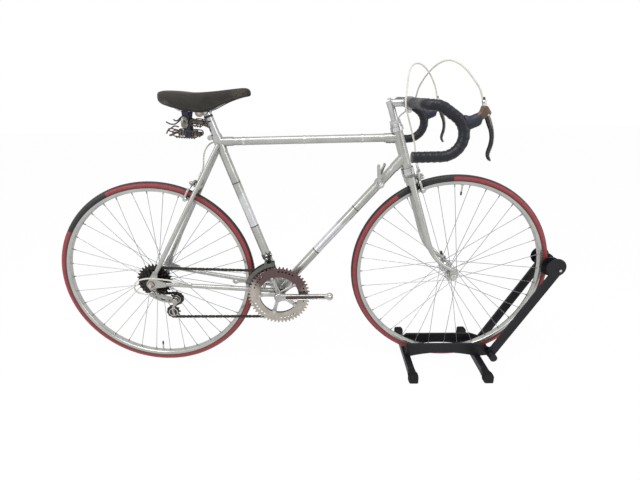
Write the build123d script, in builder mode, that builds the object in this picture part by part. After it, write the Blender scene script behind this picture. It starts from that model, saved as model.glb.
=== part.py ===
"""Road racing bicycle parked with its front wheel in a low floor stand.

X points forward, Y to the rider's left and Z up. Z = 0 is the floor, and the origin is below
the middle of the whole parked length. The crankset and the gears are on the right, at -Y.
"""
import os
from math import asin, atan2, cos, degrees, floor, hypot, pi, radians, sin, sqrt, tan

from build123d import *

os.makedirs("parts", exist_ok=True)

# ---------------------------------------------------------------- driving dimensions, in mm
# Wheels
rim_outer_radius = 316.5
tyre_above_rim = 17.5
tyre_section = 23.0
rim_depth = 15.0
rim_width = 20.0
rim_flange = 2.0
rim_well_depth = 6.0
spoke_count = 36
spoke_diameter = 2.0
spoke_head_gap = 0.9
nipple_diameter = 3.6
nipple_length = 9.0
spoke_crossing_turn = 60.0
hub_barrel_radius = 9.0
hub_flange_radius = 22.0
hub_flange_thickness = 3.0
spoke_circle_radius = 20.0
front_hub_length = 99.4
front_flange_spacing = 70.0
rear_hub_length = 125.4
rear_flange_left = 34.0
rear_flange_right = 22.0
axle_radius = 4.5
bearing_clearance = 0.05
seat_gap = 0.3
hub_cap_length = 6.0
valve_radius = 3.0
valve_length = 38.0
front_valve_turn = 85.0
rear_valve_turn = 265.0
skewer_nut_length = 13.0
skewer_nut_radius = 8.0
skewer_lever_radius = 4.0
skewer_lever_length = 46.0
front_lever_swing = 100.0
rear_lever_swing = 60.0

# Frame
wheelbase = 997.0
chainstay_beyond_tyre = 88.0
bottom_bracket_drop = 58.0
seat_angle = 72.0
seat_tube_length = 540.0
seat_tube_extension = 22.0
head_angle = 74.0
fork_beyond_tyre = 28.0
fork_rake = 50.0
lower_headset_height = 26.0
head_tube_length = 122.0
upper_headset_height = 33.0
top_tube_below_head = 22.0
down_tube_above_head = 36.0
top_tube_radius = 12.7
down_tube_radius = 14.3
seat_tube_radius = 14.3
head_tube_radius = 16.0
tube_wall = 1.0
lug_thickness = 1.7
lug_length = 30.0
shell_radius = 20.0
shell_width = 68.0
chainstay_front_radius = 8.0
chainstay_rear_radius = 6.5
chainstay_front_y = 18.0
seatstay_radius = 7.0
seatstay_top_y = 19.0
dropout_thickness = 5.0
bridge_radius = 5.5
cup_radius = 17.4
stay_rear_y = 61.0
chainstay_taper_start = 0.35
dropout_stay_x = 41.0
dropout_stay_z = -3.0
dropout_seatstay_x = 18.0
dropout_seatstay_z = 38.0
dropout_radius = 15.0
hanger = (7.0, -28.0)
hanger_radius = 8.0
seatstay_drop = 6.0
steerer_radius = 12.7
steerer_clearance = 1.5
seat_bolt_radius = 4.0
seat_ear_width = 24.0

# Seat
seatpost_radius = 13.1
seatpost_inside = 90.0
seatpost_rise = 93.0
saddle_rail_radius = 3.5

# Drivetrain
chain_pitch = 12.7
chain_line = 42.0
chain_inner_width = 2.8
chain_plate = 1.6
chain_height = 8.4
roller_radius = 3.8
outer_ring_teeth = 50
inner_ring_teeth = 42
ring_spacing = 7.0
ring_thickness = 2.0
sprocket_teeth = (28, 24, 20, 17, 14)
sprocket_spacing = 5.2
sprocket_in_use = 1
sprocket_thickness = 1.9
freewheel_bore_radius = 15.5
freewheel_body_radius = 21.0
freewheel_seat_end = 60.0
freewheel_back = 8.0
tooth_height = 3.0
tooth_depth = 4.2
crank_length = 170.0
spindle_radius = 8.5
spindle_recess = 2.0
boss_radius = 15.0
boss_thickness = 27.0
arm_thickness = 12.0
arm_root_half = 10.5
arm_tip_half = 7.5
cup_depth = 12.0
cup_lip = 4.0
spider_arms = 5
spider_turn = 36.0
spider_hub_radius = 24.0
spider_root_half = 8.0
spider_tip_half = 6.0
ring_bolt_radius = 65.0
ring_window_radius = 66.0
ring_tab_radius = 8.0
ring_drill_radius = 3.2
ring_drill_inset = 14.5
ring_drill_step = 8.0
ring_drills = 5
ring_bolt_hole_radius = 4.0
ring_bolt_head_radius = 6.0
ring_bolt_head_height = 1.5
pulley_teeth = 10
guide_pulley = (68.0, -66.0)
tension_pulley = (52.0, -116.0)
pulley_hub_radius = 9.0
cage_gap = 10.5
cage_plate_radius = 13.0
cage_plate_thickness = 2.0
knuckle_length = 17.0
knuckle_radius = 10.0
barrel_radius = 4.0
barrel_length = 28.0
link_radius = 4.0
link_spacing = 11.0
roller_clear_runs = ((50.0, 24.0), (20.0, 20.0), (20.0, 34.0), (40.0, 50.0))
front_derailleur_height = 132.0
band_height = 16.0
band_thickness = 2.5
front_arm_radius = 5.0
front_cage_half = 10.0
front_cage_inner = 108.0
front_cage_outer = 120.0
front_cage_skirt = 14.0
front_cage_start = 95.0
front_cage_sweep = 62.0
front_plate_thickness = 1.2
pedal_thread_radius = 7.14
pedal_eye_radius = 11.5

# Fork and headset
crown_height = 24.0
crown_depth = 30.0
crown_width = 78.0
blade_top_y = 27.0
blade_top_radius = 11.0
blade_tip_radius = 6.0
blade_mid_radius = 9.5
blade_splay = 0.075
fork_tip_radius = 10.0
blade_straight = 190.0
blade_bend = 85.0
blade_tip_above = 25.0
crown_race_height = 5.0
cup_outer_radius = 20.0
upper_cup_height = 13.0
locknut_radius = 17.0
locknut_gap = 0.3
quill_radius = 11.1
quill_inside = 60.0
stem_height = 54.0
stem_clamp_radius = 18.5
stem_clamp_width = 38.0
stem_bar_radius = 11.5

# Handlebar
stem_reach = 58.0
bar_radius = 12.7
bar_width = 400.0
bar_reach = 99.6
bar_drop = 134.0
tape_radius = 15.4
tape_start = 48.0

bar_drop_length = 130.0
bar_plug_length = 5.0
bar_shoulder_reach = 38.0
bar_shoulder_fall = 4.0
bar_ramp_fall = 49.0
shoulder_bend = 24.0
ramp_bend = 50.0
upper_bend = 56.0
lower_bend = 56.0
hood_ahead = 0.0
hood_below = 31.0
hood_width = 27.0
lever_width = 11.0

# Brakes
brake_layer = 8.0
brake_spacer = 5.0
brake_track_inset = 7.5
brake_arm_spread = 26.0
brake_arm_width = 8.0
brake_boss_radius = 8.0
brake_nut_height = 5.0
brake_bridge_beyond_tyre = 22.0
stay_bridge_share = 0.15
pad_gap = 3.0
pad_thickness = 6.0
pad_height = 10.0
pad_length = 34.0
pad_bolt_radius = 2.5
adjuster_side = 29.0
adjuster_low = 20.0
adjuster_high = 34.0
adjuster_radius = 3.5

# Down-tube shift levers and the shift cables
shifter_distance = 500.0
shifter_band_half = 7.0
shifter_boss_radius = 11.0
shifter_boss_width = 12.0
shifter_lever_width = 8.0
shifter_lever_thickness = 3.0
near_lever_reach = (-6.8, 62.3)
far_lever_reach = (20.2, 56.3)
housing_radius = 2.5
wire_radius = 0.8

# Saddle, its rails and what is strapped under it
rail_y = 21.0
rail_z = 552.0
saddle_clamp_x = 221.0
saddle_clamp_radius = 11.0
saddle_clamp_half = 29.0
saddle_wall = 4.0
strap_x = 167.0
strap_width = 24.0
strap_thickness = 2.0
pedal_plate_length = 62.0
pedal_plate_height = 26.0
pedal_plate_thickness = 2.5
pedal_half_width = 28.0
pedal_barrel_radius = 9.0
pedal_axle_radius = 6.5
upper_pedal = (182.0, 508.3)
lower_pedal = (137.0, 482.0)

# Floor stand that holds the front wheel
stand_lift = 12.0
stand_width = 285.0
stand_bar_rear = -131.0
stand_bar_front = 118.0
stand_bar_side = 22.0
stand_bar_low = 3.0
stand_cap_wall = 3.0
stand_cap_length = 34.0
stand_rail_y = 30.0
stand_rail_thickness = 6.0
stand_rail_top = 75.0
stand_rail_back = 136.0
stand_rail_corner = 12.0
stand_arch_rise = 14.0
stand_end_front = 112.0
stand_pivot_x = 158.0
stand_pivot_z = 43.0
stand_pivot_radius = 15.0
stand_bolt_radius = 5.0
stand_bolt_forward = 12.0
stand_arm_width = 28.0
stand_arm_thickness = 8.0
stand_arm_spacer = 8.0
stand_plate_thickness = 5.0
stand_plate_centre = 2.0
stand_tyre_gap = 4.0
stand_spacer_radius = 9.0
stand_saddle_length = 44.0
stand_knob_radius = 13.0
stand_knob_length = 18.0
stand_bracket_radius = 33.0
stand_bracket_turn = 3.2

# ---------------------------------------------------------------- places worked out from them
tyre_radius = rim_outer_radius + tyre_above_rim
chainstay_length = tyre_radius + chainstay_beyond_tyre
fork_length = tyre_radius + fork_beyond_tyre
brake_track_radius = rim_outer_radius - brake_track_inset
brake_bridge_radius = tyre_radius + brake_bridge_beyond_tyre
seatpost_top = seat_tube_length + seatpost_rise
pitch = asin(stand_lift / wheelbase)
bracket_reach = tyre_radius + stand_plate_centre
bracket_x = bracket_reach * cos(radians(stand_bracket_turn))
bracket_z = tyre_radius + stand_lift + bracket_reach * sin(radians(stand_bracket_turn))
front_axle_x = wheelbase * cos(pitch)
rear_axle_x = (tyre_radius - front_axle_x - bracket_x - stand_bracket_radius) / 2

# The bicycle's own side view: x ahead of the rear axle, y above it, looking from the right.
side = Plane(
    origin=(rear_axle_x, 0, tyre_radius),
    x_dir=(cos(pitch), 0, sin(pitch)),
    z_dir=(0, -1, 0),
)
# The stand's side view: x ahead of the front axle, y above the floor.
stand_side = Plane(origin=(rear_axle_x + front_axle_x, 0, 0), x_dir=(1, 0, 0), z_dir=(0, -1, 0))
ON_END = (Align.CENTER, Align.CENTER, Align.MIN)


def at(x, y, z):
    """The place x ahead of the rear axle, y to the left and z above the axle, on the bicycle."""
    return side.from_local_coords(Vector(x, z, -y))


def stand_at(x, y, z):
    """The place x ahead of the front axle, y to the left and z above the floor."""
    return stand_side.from_local_coords(Vector(x, z, -y))


def span(start, end):
    """A plane at start whose normal points to end."""
    return Plane(origin=start, z_dir=end - start)


def rod(start, end, radius, mode=Mode.ADD):
    """A round bar between two places, added to the part being built."""
    with Locations(span(start, end)):
        Cylinder(radius, (end - start).length, align=ON_END, mode=mode)


def between(start, end, share):
    """The place a given share of the way from start to end."""
    return start + (end - start) * share


def save(node, builder):
    """Label a finished sub-part and write its STEP file."""
    builder.part.label = node
    export_step(builder.part, f"parts/{node}.step")



def pitch_radius(teeth):
    """The radius of the circle on which the chain's rollers lie round a wheel with these teeth."""
    return chain_pitch / (2 * sin(pi / teeth))


def toothed_outline(teeth):
    """The outline of a chain wheel: straight-sided teeth with flat tips on its pitch circle."""
    radius = pitch_radius(teeth)
    turn = 2 * pi / teeth
    tooth_corners = (
        (-0.34, -tooth_depth),
        (-0.13, tooth_height),
        (0.13, tooth_height),
        (0.34, -tooth_depth),
    )
    points = []
    for tooth in range(teeth):
        for share, reach in tooth_corners:
            angle = (tooth + share) * turn
            points.append(((radius + reach) * cos(angle), (radius + reach) * sin(angle)))
    return points


bottom_bracket = (sqrt(chainstay_length**2 - bottom_bracket_drop**2), -bottom_bracket_drop)
shell_centre = at(bottom_bracket[0], 0, bottom_bracket[1])


def seat_line(distance):
    """A place on the seat tube's axis, at a distance from the bottom bracket, in the side view."""
    return (
        bottom_bracket[0] - distance * cos(radians(seat_angle)),
        bottom_bracket[1] + distance * sin(radians(seat_angle)),
    )


head_up = (-cos(radians(head_angle)), sin(radians(head_angle)))
head_forward = (sin(radians(head_angle)), cos(radians(head_angle)))
crown_seat = (
    wheelbase - fork_rake * head_forward[0] + fork_length * head_up[0],
    -fork_rake * head_forward[1] + fork_length * head_up[1],
)


def head_line(distance, forward=0.0):
    """A place beside the steering axis: distance above the crown race, forward of the axis."""
    return (
        crown_seat[0] + distance * head_up[0] + forward * head_forward[0],
        crown_seat[1] + distance * head_up[1] + forward * head_forward[1],
    )


def on_head(distance, forward=0.0, y=0.0):
    """The same place on the model, y to the left of the middle."""
    x, z = head_line(distance, forward)
    return at(x, y, z)


def on_seat(distance, y=0.0):
    """A place on the seat tube's axis on the model."""
    x, z = seat_line(distance)
    return at(x, y, z)


head_bottom = lower_headset_height
head_top = head_bottom + head_tube_length
headset_top = head_top + upper_headset_height
front_axle = at(wheelbase, 0, 0)
rear_axle = at(0, 0, 0)
rear_half = rear_hub_length / 2 + seat_gap
front_half = front_hub_length / 2 + seat_gap


# ---------------------------------------------------------------- wheels
def tyre(centre):
    """A clincher tyre: a round casing whose neck sits between the rim's two flanges."""
    casing = tyre_radius - tyre_section / 2
    with BuildPart() as piece:
        with BuildSketch(Plane(origin=centre, x_dir=(1, 0, 0), z_dir=(0, 0, 1))):
            with Locations((casing, 0)):
                Circle(tyre_section / 2)
            with Locations((rim_outer_radius, 0)):
                Rectangle(tyre_section, tyre_section, align=(Align.MAX, Align.CENTER), mode=Mode.SUBTRACT)
                Rectangle(
                    rim_well_depth, rim_width - 2 * rim_flange, align=(Align.MAX, Align.CENTER)
                )
        revolve(axis=Axis(centre, (0, 1, 0)))
    return piece


def rim(centre, valve_turn):
    """A box rim with a well between its flanges, and the tyre valve's stem at one spoke gap."""
    with BuildPart() as piece:
        with BuildSketch(Plane(origin=centre, x_dir=(1, 0, 0), z_dir=(0, 0, 1))) as section:
            with Locations((rim_outer_radius, 0)):
                Rectangle(rim_depth, rim_width, align=(Align.MAX, Align.CENTER))
            fillet(section.vertices().sort_by(Axis.X)[:2], rim_width / 4)
            with Locations((rim_outer_radius, 0)):
                Rectangle(
                    rim_well_depth,
                    rim_width - 2 * rim_flange,
                    align=(Align.MAX, Align.CENTER),
                    mode=Mode.SUBTRACT,
                )
        revolve(axis=Axis(centre, (0, 1, 0)))
        outward = Vector(cos(radians(valve_turn)), 0, sin(radians(valve_turn)))
        rim_inside = rim_outer_radius - rim_depth
        rod(centre + outward * (rim_inside - valve_length), centre + outward * (rim_inside + 2), valve_radius)
    return piece


def spokes(centre, left_flange, right_flange):
    """Spokes laced three across: each flange's spokes lean one way and the other in turn."""
    rim_inside = rim_outer_radius - rim_depth - seat_gap
    step = radians(720 / spoke_count)
    beside = hub_flange_thickness / 2 + spoke_diameter / 2 + spoke_head_gap
    with BuildPart() as group:
        for sign, flange in ((1, left_flange), (-1, right_flange)):
            for lean in (1, -1):
                hub_turn = (step if lean > 0 else 0) + (step / 2 if sign < 0 else 0)
                rim_turn = hub_turn + lean * radians(spoke_crossing_turn)
                start = Vector(
                    spoke_circle_radius * cos(hub_turn),
                    spoke_circle_radius * sin(hub_turn),
                    sign * (flange + lean * beside),
                )
                end = Vector(rim_inside * cos(rim_turn), rim_inside * sin(rim_turn), sign * spoke_diameter)
                rod(start, end, spoke_diameter / 2)
                rod(between(end, start, nipple_length / (end - start).length), end, nipple_diameter / 2)
    with BuildPart() as piece:
        with Locations(Plane(origin=centre, x_dir=(1, 0, 0), z_dir=(0, 1, 0))):
            with PolarLocations(0, spoke_count // 4):
                add(group)
    return piece


def hub(centre, half_length, left_flange, right_flange, seat=None):
    """A hub turned in one piece and bored for its axle, with a seat for the sprockets if given."""

    def disc(radius, low, high, mode=Mode.ADD):
        rod(centre + Vector(0, low, 0), centre + Vector(0, high, 0), radius, mode)

    with BuildPart() as piece:
        disc(hub_barrel_radius, -right_flange, left_flange)
        for middle in (left_flange, -right_flange):
            disc(hub_flange_radius, middle - hub_flange_thickness / 2, middle + hub_flange_thickness / 2)
        disc(hub_barrel_radius + 3, left_flange, left_flange + hub_cap_length)
        disc(hub_barrel_radius - 1, left_flange, half_length)
        if seat:
            disc(seat[0], -seat[1], -right_flange)
        else:
            disc(hub_barrel_radius + 3, -right_flange - hub_cap_length, -right_flange)
        disc(hub_barrel_radius - 1, -half_length, -right_flange)
        disc(axle_radius + bearing_clearance, -half_length, half_length, Mode.SUBTRACT)
    return piece


save("rear_tyre", tyre(rear_axle))
save("front_tyre", tyre(front_axle))
save("rear_rim", rim(rear_axle, rear_valve_turn))
save("front_rim", rim(front_axle, front_valve_turn))
save("rear_spokes", spokes(rear_axle, rear_flange_left, rear_flange_right))
save("front_spokes", spokes(front_axle, front_flange_spacing / 2, front_flange_spacing / 2))
save("front_hub", hub(front_axle, front_hub_length / 2, front_flange_spacing / 2, front_flange_spacing / 2))
save(
    "rear_hub",
    hub(
        rear_axle,
        rear_hub_length / 2,
        rear_flange_left,
        rear_flange_right,
        seat=(freewheel_bore_radius - bearing_clearance, freewheel_seat_end),
    ),
)


def quick_release(centre, half, lever_swing):
    """An axle through both dropouts, with a cap nut on the right and a cam lever on the left."""
    face = Vector(0, half + dropout_thickness, 0)
    end = face + Vector(0, skewer_nut_length, 0)
    reach = skewer_lever_length * cos(radians(lever_swing))
    rise = skewer_lever_length * sin(radians(lever_swing))
    with BuildPart() as piece:
        rod(centre - face, centre + face, axle_radius)
        rod(centre - end, centre - face, skewer_nut_radius)
        rod(centre + face, centre + end, skewer_nut_radius)
        lever_plane = Plane(origin=centre + end, z_dir=(0, -1, 0))
        with BuildSketch(lever_plane):
            SlotCenterPoint((reach / 2, rise / 2), (reach, rise), 2 * skewer_lever_radius)
        extrude(amount=skewer_lever_radius * 1.6)
    return piece


save("front_quick_release", quick_release(front_axle, front_half, front_lever_swing))
save("rear_quick_release", quick_release(rear_axle, rear_half, rear_lever_swing))

# ---------------------------------------------------------------- frame
seat_cluster = on_seat(seat_tube_length)
head_join_top = on_head(head_top - top_tube_below_head)
head_join_low = on_head(head_bottom + down_tube_above_head)

with BuildPart() as head_tube:
    for start, join, radius in (
        (seat_cluster, head_join_top, top_tube_radius),
        (shell_centre, head_join_low, down_tube_radius),
    ):
        rod(join, join + (start - join).normalized() * (head_tube_radius + lug_length), radius + lug_thickness)
    for start, join, radius in (
        (seat_cluster, head_join_top, top_tube_radius),
        (shell_centre, head_join_low, down_tube_radius),
    ):
        rod(join, start, radius, Mode.SUBTRACT)
    rod(on_head(head_bottom), on_head(head_top), head_tube_radius)
    rod(on_head(head_bottom), on_head(head_top), steerer_radius + steerer_clearance, Mode.SUBTRACT)
save("head_tube", head_tube)

shell_left = shell_centre + Vector(0, shell_width / 2, 0)
shell_right = shell_centre - Vector(0, shell_width / 2, 0)
stay_fronts = [shell_centre + Vector(0, sign * chainstay_front_y, 0) for sign in (1, -1)]
stay_rears = [at(dropout_stay_x, sign * stay_rear_y, dropout_stay_z) for sign in (1, -1)]
shell_tubes = [
    (shell_centre, seat_cluster, seat_tube_radius, lug_length),
    (shell_centre, head_join_low, down_tube_radius, lug_length),
    (stay_fronts[0], stay_rears[0], chainstay_front_radius, lug_length / 2),
    (stay_fronts[1], stay_rears[1], chainstay_front_radius, lug_length / 2),
]
with BuildPart() as bottom_bracket_shell:
    for start, end, radius, length in shell_tubes:
        rod(start, start + (end - start).normalized() * (shell_radius + length), radius + lug_thickness)
    for start, end, radius, length in shell_tubes:
        rod(start, end, radius, Mode.SUBTRACT)
    rod(shell_left, shell_right, shell_radius)
    rod(shell_left, shell_right, cup_radius, Mode.SUBTRACT)
save("bottom_bracket_shell", bottom_bracket_shell)

seat_tube_end = on_seat(seat_tube_length + seat_tube_extension)
with BuildPart() as seat_tube:
    rod(shell_centre, seat_tube_end, seat_tube_radius)
    rod(shell_centre, seat_tube_end, seatpost_radius, Mode.SUBTRACT)
    rod(shell_left, shell_right, shell_radius, Mode.SUBTRACT)
save("seat_tube", seat_tube)

with BuildPart() as down_tube:
    rod(shell_centre, head_join_low, down_tube_radius)
    rod(shell_centre, head_join_low, down_tube_radius - tube_wall, Mode.SUBTRACT)
    rod(on_head(0), on_head(head_top), head_tube_radius, Mode.SUBTRACT)
    rod(shell_centre, seat_cluster, seat_tube_radius + lug_thickness, Mode.SUBTRACT)
    rod(shell_left, shell_right, shell_radius, Mode.SUBTRACT)
save("down_tube", down_tube)

with BuildPart() as top_tube:
    rod(seat_cluster, head_join_top, top_tube_radius)
    rod(seat_cluster, head_join_top, top_tube_radius - tube_wall, Mode.SUBTRACT)
    rod(on_head(0), on_head(headset_top), head_tube_radius, Mode.SUBTRACT)
    rod(shell_centre, seat_tube_end, seat_tube_radius, Mode.SUBTRACT)
save("top_tube", top_tube)

lug_low = on_seat(seat_tube_length - lug_length)
ear_centre = on_seat(seat_tube_length + seat_tube_extension - 2 * seat_bolt_radius)
ear_centre -= side.x_dir * (seat_tube_radius + lug_thickness + seat_bolt_radius)
half_ear = Vector(0, seat_ear_width / 2, 0)
with BuildPart() as seat_lug:
    rod(lug_low, seat_tube_end, seat_tube_radius + lug_thickness)
    rod(
        seat_cluster,
        seat_cluster + (head_join_top - seat_cluster).normalized() * (seat_tube_radius + lug_length),
        top_tube_radius + lug_thickness,
    )
    rod(ear_centre - half_ear, ear_centre + half_ear, 2 * seat_bolt_radius)
    rod(shell_centre, on_seat(seatpost_top), seat_tube_radius, Mode.SUBTRACT)
    rod(seat_cluster, head_join_top, top_tube_radius, Mode.SUBTRACT)
save("seat_lug", seat_lug)

with BuildPart() as chainstays:
    for front, rear in zip(stay_fronts, stay_rears):
        taper = between(front, rear, chainstay_taper_start)
        rod(front, taper, chainstay_front_radius)
        with BuildSketch(span(taper, rear)):
            Circle(chainstay_front_radius)
        with BuildSketch(Plane(origin=rear, z_dir=rear - front)):
            Circle(chainstay_rear_radius)
        loft()
    bridge_ends = [between(front, rear, stay_bridge_share) for front, rear in zip(stay_fronts, stay_rears)]
    rod(bridge_ends[0], bridge_ends[1], bridge_radius)
    rod(shell_left, shell_right, shell_radius, Mode.SUBTRACT)
save("chainstays", chainstays)

stay_foot = at(dropout_seatstay_x, 0, dropout_seatstay_z)
stay_up = (on_seat(seat_tube_length - seatstay_drop) - stay_foot).normalized()
foot_rise = (stay_foot - rear_axle).dot(stay_up)
foot_reach = (stay_foot - rear_axle).length
bridge_rise = sqrt(brake_bridge_radius**2 - foot_reach**2 + foot_rise**2) - foot_rise
brake_bridge = stay_foot + stay_up * bridge_rise
with BuildPart() as seatstays:
    bridge_ends = []
    for sign in (1, -1):
        stay_low = at(dropout_seatstay_x, sign * stay_rear_y, dropout_seatstay_z)
        stay_high = on_seat(seat_tube_length - seatstay_drop, sign * seatstay_top_y)
        rod(stay_low, stay_high, seatstay_radius)
        bridge_ends.append(between(stay_low, stay_high, bridge_rise / (stay_high - stay_low).length))
    rod(bridge_ends[0], bridge_ends[1], bridge_radius)
    rod(shell_centre, seat_tube_end, seat_tube_radius + lug_thickness, Mode.SUBTRACT)
save("seatstays", seatstays)

with BuildPart() as rear_dropouts:
    for sign in (1, -1):
        inner = sign * rear_half
        with BuildSketch(side.offset(-inner)):
            with BuildLine():
                Polyline(
                    (-dropout_radius, 2),
                    (dropout_seatstay_x - 6, dropout_seatstay_z + 8),
                    (dropout_seatstay_x + 8, dropout_seatstay_z + 2),
                    (dropout_radius + 7, dropout_radius + 1),
                    (dropout_stay_x + 8, dropout_stay_z + 7),
                    (dropout_stay_x + 8, dropout_stay_z - 7),
                    (0, -dropout_radius),
                    close=True,
                )
            make_face()
            Circle(dropout_radius)
            if sign < 0:
                with BuildLine():
                    Polyline(
                        (-dropout_radius + 2, -6),
                        (hanger[0] - hanger_radius, hanger[1]),
                        (hanger[0] + hanger_radius, hanger[1]),
                        (dropout_radius, 0),
                        close=True,
                    )
                make_face()
                with Locations(hanger):
                    Circle(hanger_radius)
            Circle(axle_radius, mode=Mode.SUBTRACT)
        extrude(amount=-sign * dropout_thickness)
    add(chainstays, mode=Mode.SUBTRACT)
    add(seatstays, mode=Mode.SUBTRACT)
save("rear_dropouts", rear_dropouts)

# ---------------------------------------------------------------- fork, headset and stem
crown_low = -crown_height
with BuildPart() as fork_crown:
    crown_plane = Plane(origin=on_head(0), x_dir=(0, 1, 0), z_dir=on_head(-1) - on_head(0))
    with BuildSketch(crown_plane):
        SlotOverall(crown_width, crown_depth)
    extrude(amount=crown_height)
    rod(on_head(0), on_head(crown_race_height), cup_outer_radius)
    rod(on_head(0), on_head(headset_top), steerer_radius)
    rod(on_head(headset_top - quill_inside), on_head(headset_top), quill_radius, Mode.SUBTRACT)
save("fork_crown", fork_crown)

with BuildPart() as fork_blades:
    for sign in (1, -1):
        top = on_head(crown_low, 0, sign * blade_top_y)
        tip = at(wheelbase - 3, sign * (front_half + dropout_thickness / 2), blade_tip_above)
        straight = on_head(crown_low - blade_straight, 0, sign * (blade_top_y + blade_straight * blade_splay))
        control = between(top, straight, 1 + blade_bend / blade_straight)
        with BuildLine() as blade_path:
            Line(top, straight)
            Bezier(straight, control, tip)
        with BuildSketch(Plane(origin=top, z_dir=straight - top)):
            Circle(blade_top_radius)
        with BuildSketch(Plane(origin=straight, z_dir=straight - top)):
            Circle(blade_mid_radius)
        loft()
        curve = blade_path.edges().sort_by(Axis.Z)[0]
        for share in (0, 0.25, 0.5, 0.75, 1):
            place = curve.position_at(share)
            with BuildSketch(Plane(origin=place, z_dir=curve.tangent_at(share))):
                Circle(blade_mid_radius + (blade_tip_radius - blade_mid_radius) * share)
        loft()
    add(fork_crown, mode=Mode.SUBTRACT)
    for sign in (1, -1):
        inner = sign * front_half
        with BuildSketch(side.offset(-inner)):
            with BuildLine():
                Polyline(
                    (wheelbase - 12, -4),
                    (wheelbase - 11, blade_tip_above + 4),
                    (wheelbase + 5, blade_tip_above + 4),
                    (wheelbase + 12, 0),
                    close=True,
                )
            make_face()
            with Locations((wheelbase, 0)):
                Circle(fork_tip_radius)
        extrude(amount=-sign * dropout_thickness)
    rod(at(wheelbase, -rear_half, 0), at(wheelbase, rear_half, 0), axle_radius, Mode.SUBTRACT)
save("fork_blades", fork_blades)

with BuildPart() as headset_cups:
    rod(on_head(crown_race_height + locknut_gap), on_head(head_bottom), cup_outer_radius)
    rod(on_head(head_top), on_head(head_top + upper_cup_height), cup_outer_radius)
    rod(on_head(0), on_head(headset_top), steerer_radius + bearing_clearance, Mode.SUBTRACT)
save("headset_cups", headset_cups)

with BuildPart() as headset_locknut:
    rod(on_head(head_top + upper_cup_height + locknut_gap), on_head(headset_top - 10), locknut_radius)
    with BuildSketch(Plane(origin=on_head(headset_top - 10), z_dir=on_head(1) - on_head(0))):
        RegularPolygon(locknut_radius, 6)
    extrude(amount=10)
    rod(on_head(0), on_head(headset_top), steerer_radius, Mode.SUBTRACT)
save("headset_locknut", headset_locknut)

stem_corner = head_line(headset_top + stem_height)
clamp_x = stem_corner[0] + stem_reach
clamp_z = stem_corner[1]
bar_middle = at(clamp_x, 0, clamp_z)
half_clamp = Vector(0, stem_clamp_width / 2, 0)
with BuildPart() as stem:
    rod(on_head(headset_top - quill_inside), on_head(headset_top + stem_height + stem_bar_radius / 2), quill_radius)
    rod(on_head(headset_top + stem_height - stem_bar_radius), on_head(headset_top + stem_height + stem_bar_radius / 2), quill_radius + 1)
    rod(at(stem_corner[0], 0, clamp_z), bar_middle, stem_bar_radius)
    rod(bar_middle - half_clamp, bar_middle + half_clamp, stem_clamp_radius)
    rod(bar_middle - half_clamp, bar_middle + half_clamp, bar_radius, Mode.SUBTRACT)
save("stem", stem)

# ---------------------------------------------------------------- handlebar and brake levers
half_bar = bar_width / 2
bar_side = [
    (clamp_x, half_bar - 2, clamp_z),
    (clamp_x + bar_shoulder_reach, half_bar - 1, clamp_z - bar_shoulder_fall),
    (clamp_x + bar_reach, half_bar, clamp_z - bar_ramp_fall),
    (clamp_x + bar_reach, half_bar + 5, clamp_z - bar_drop),
    (clamp_x + bar_reach - bar_drop_length, half_bar + 7, clamp_z - bar_drop),
]
bar_bends = [shoulder_bend, ramp_bend, upper_bend, lower_bend]
bar_left = [at(*place) for place in bar_side]
bar_right = [at(x, -y, z) for x, y, z in bar_side]

with BuildPart() as handlebar:
    with BuildLine() as bar_path:
        FilletPolyline(*reversed(bar_left), *bar_right, radius=[*reversed(bar_bends), *bar_bends])
    with BuildSketch(Plane(origin=bar_path.line @ 0, z_dir=bar_path.line % 0)):
        Circle(bar_radius)
    sweep()
save("handlebar", handlebar)

with BuildPart() as bar_tape:
    for sign, ends in ((1, bar_left), (-1, bar_right)):
        with BuildLine() as tape_path:
            FilletPolyline(at(clamp_x, sign * tape_start, clamp_z), *ends, radius=bar_bends)
        with BuildSketch(Plane(origin=tape_path.line @ 0, z_dir=tape_path.line % 0)):
            Circle(tape_radius)
            Circle(bar_radius, mode=Mode.SUBTRACT)
        sweep()
        plug = Plane(origin=tape_path.line @ 1, z_dir=tape_path.line % 1)
        with Locations(plug):
            Cylinder(tape_radius, bar_plug_length, align=ON_END)
save("bar_tape", bar_tape)

# What a hood is hollowed by: the taped bar, with room round it.
with BuildPart() as hood_seats:
    for sign, ends in ((1, bar_left), (-1, bar_right)):
        with BuildLine() as seat_path:
            FilletPolyline(at(clamp_x, sign * tape_start, clamp_z), *ends, radius=bar_bends)
        with BuildSketch(Plane(origin=seat_path.line @ 0, z_dir=seat_path.line % 0)):
            Circle(tape_radius + seat_gap)
        sweep()

hood_x = clamp_x + bar_reach + hood_ahead
hood_z = clamp_z - hood_below
with BuildPart() as brake_hoods:
    for sign in (1, -1):
        with BuildSketch(side.offset(-sign * (half_bar + 1))):
            with BuildLine():
                Polyline(
                    (hood_x - 12, hood_z + 2),
                    (hood_x + 10, hood_z - 1),
                    (hood_x + 31, hood_z + 7),
                    (hood_x + 39, hood_z + 25),
                    (hood_x + 52, hood_z + 26),
                    (hood_x + 64, hood_z + 7),
                    (hood_x + 60, hood_z - 2),
                    (hood_x + 40, hood_z - 12),
                    (hood_x + 38, hood_z - 25),
                    (hood_x + 17, hood_z - 33),
                    (hood_x + 4, hood_z - 42),
                    close=True,
                )
            make_face()
        extrude(amount=hood_width / 2, both=True)
    add(hood_seats, mode=Mode.SUBTRACT)
save("brake_hoods", brake_hoods)

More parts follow.
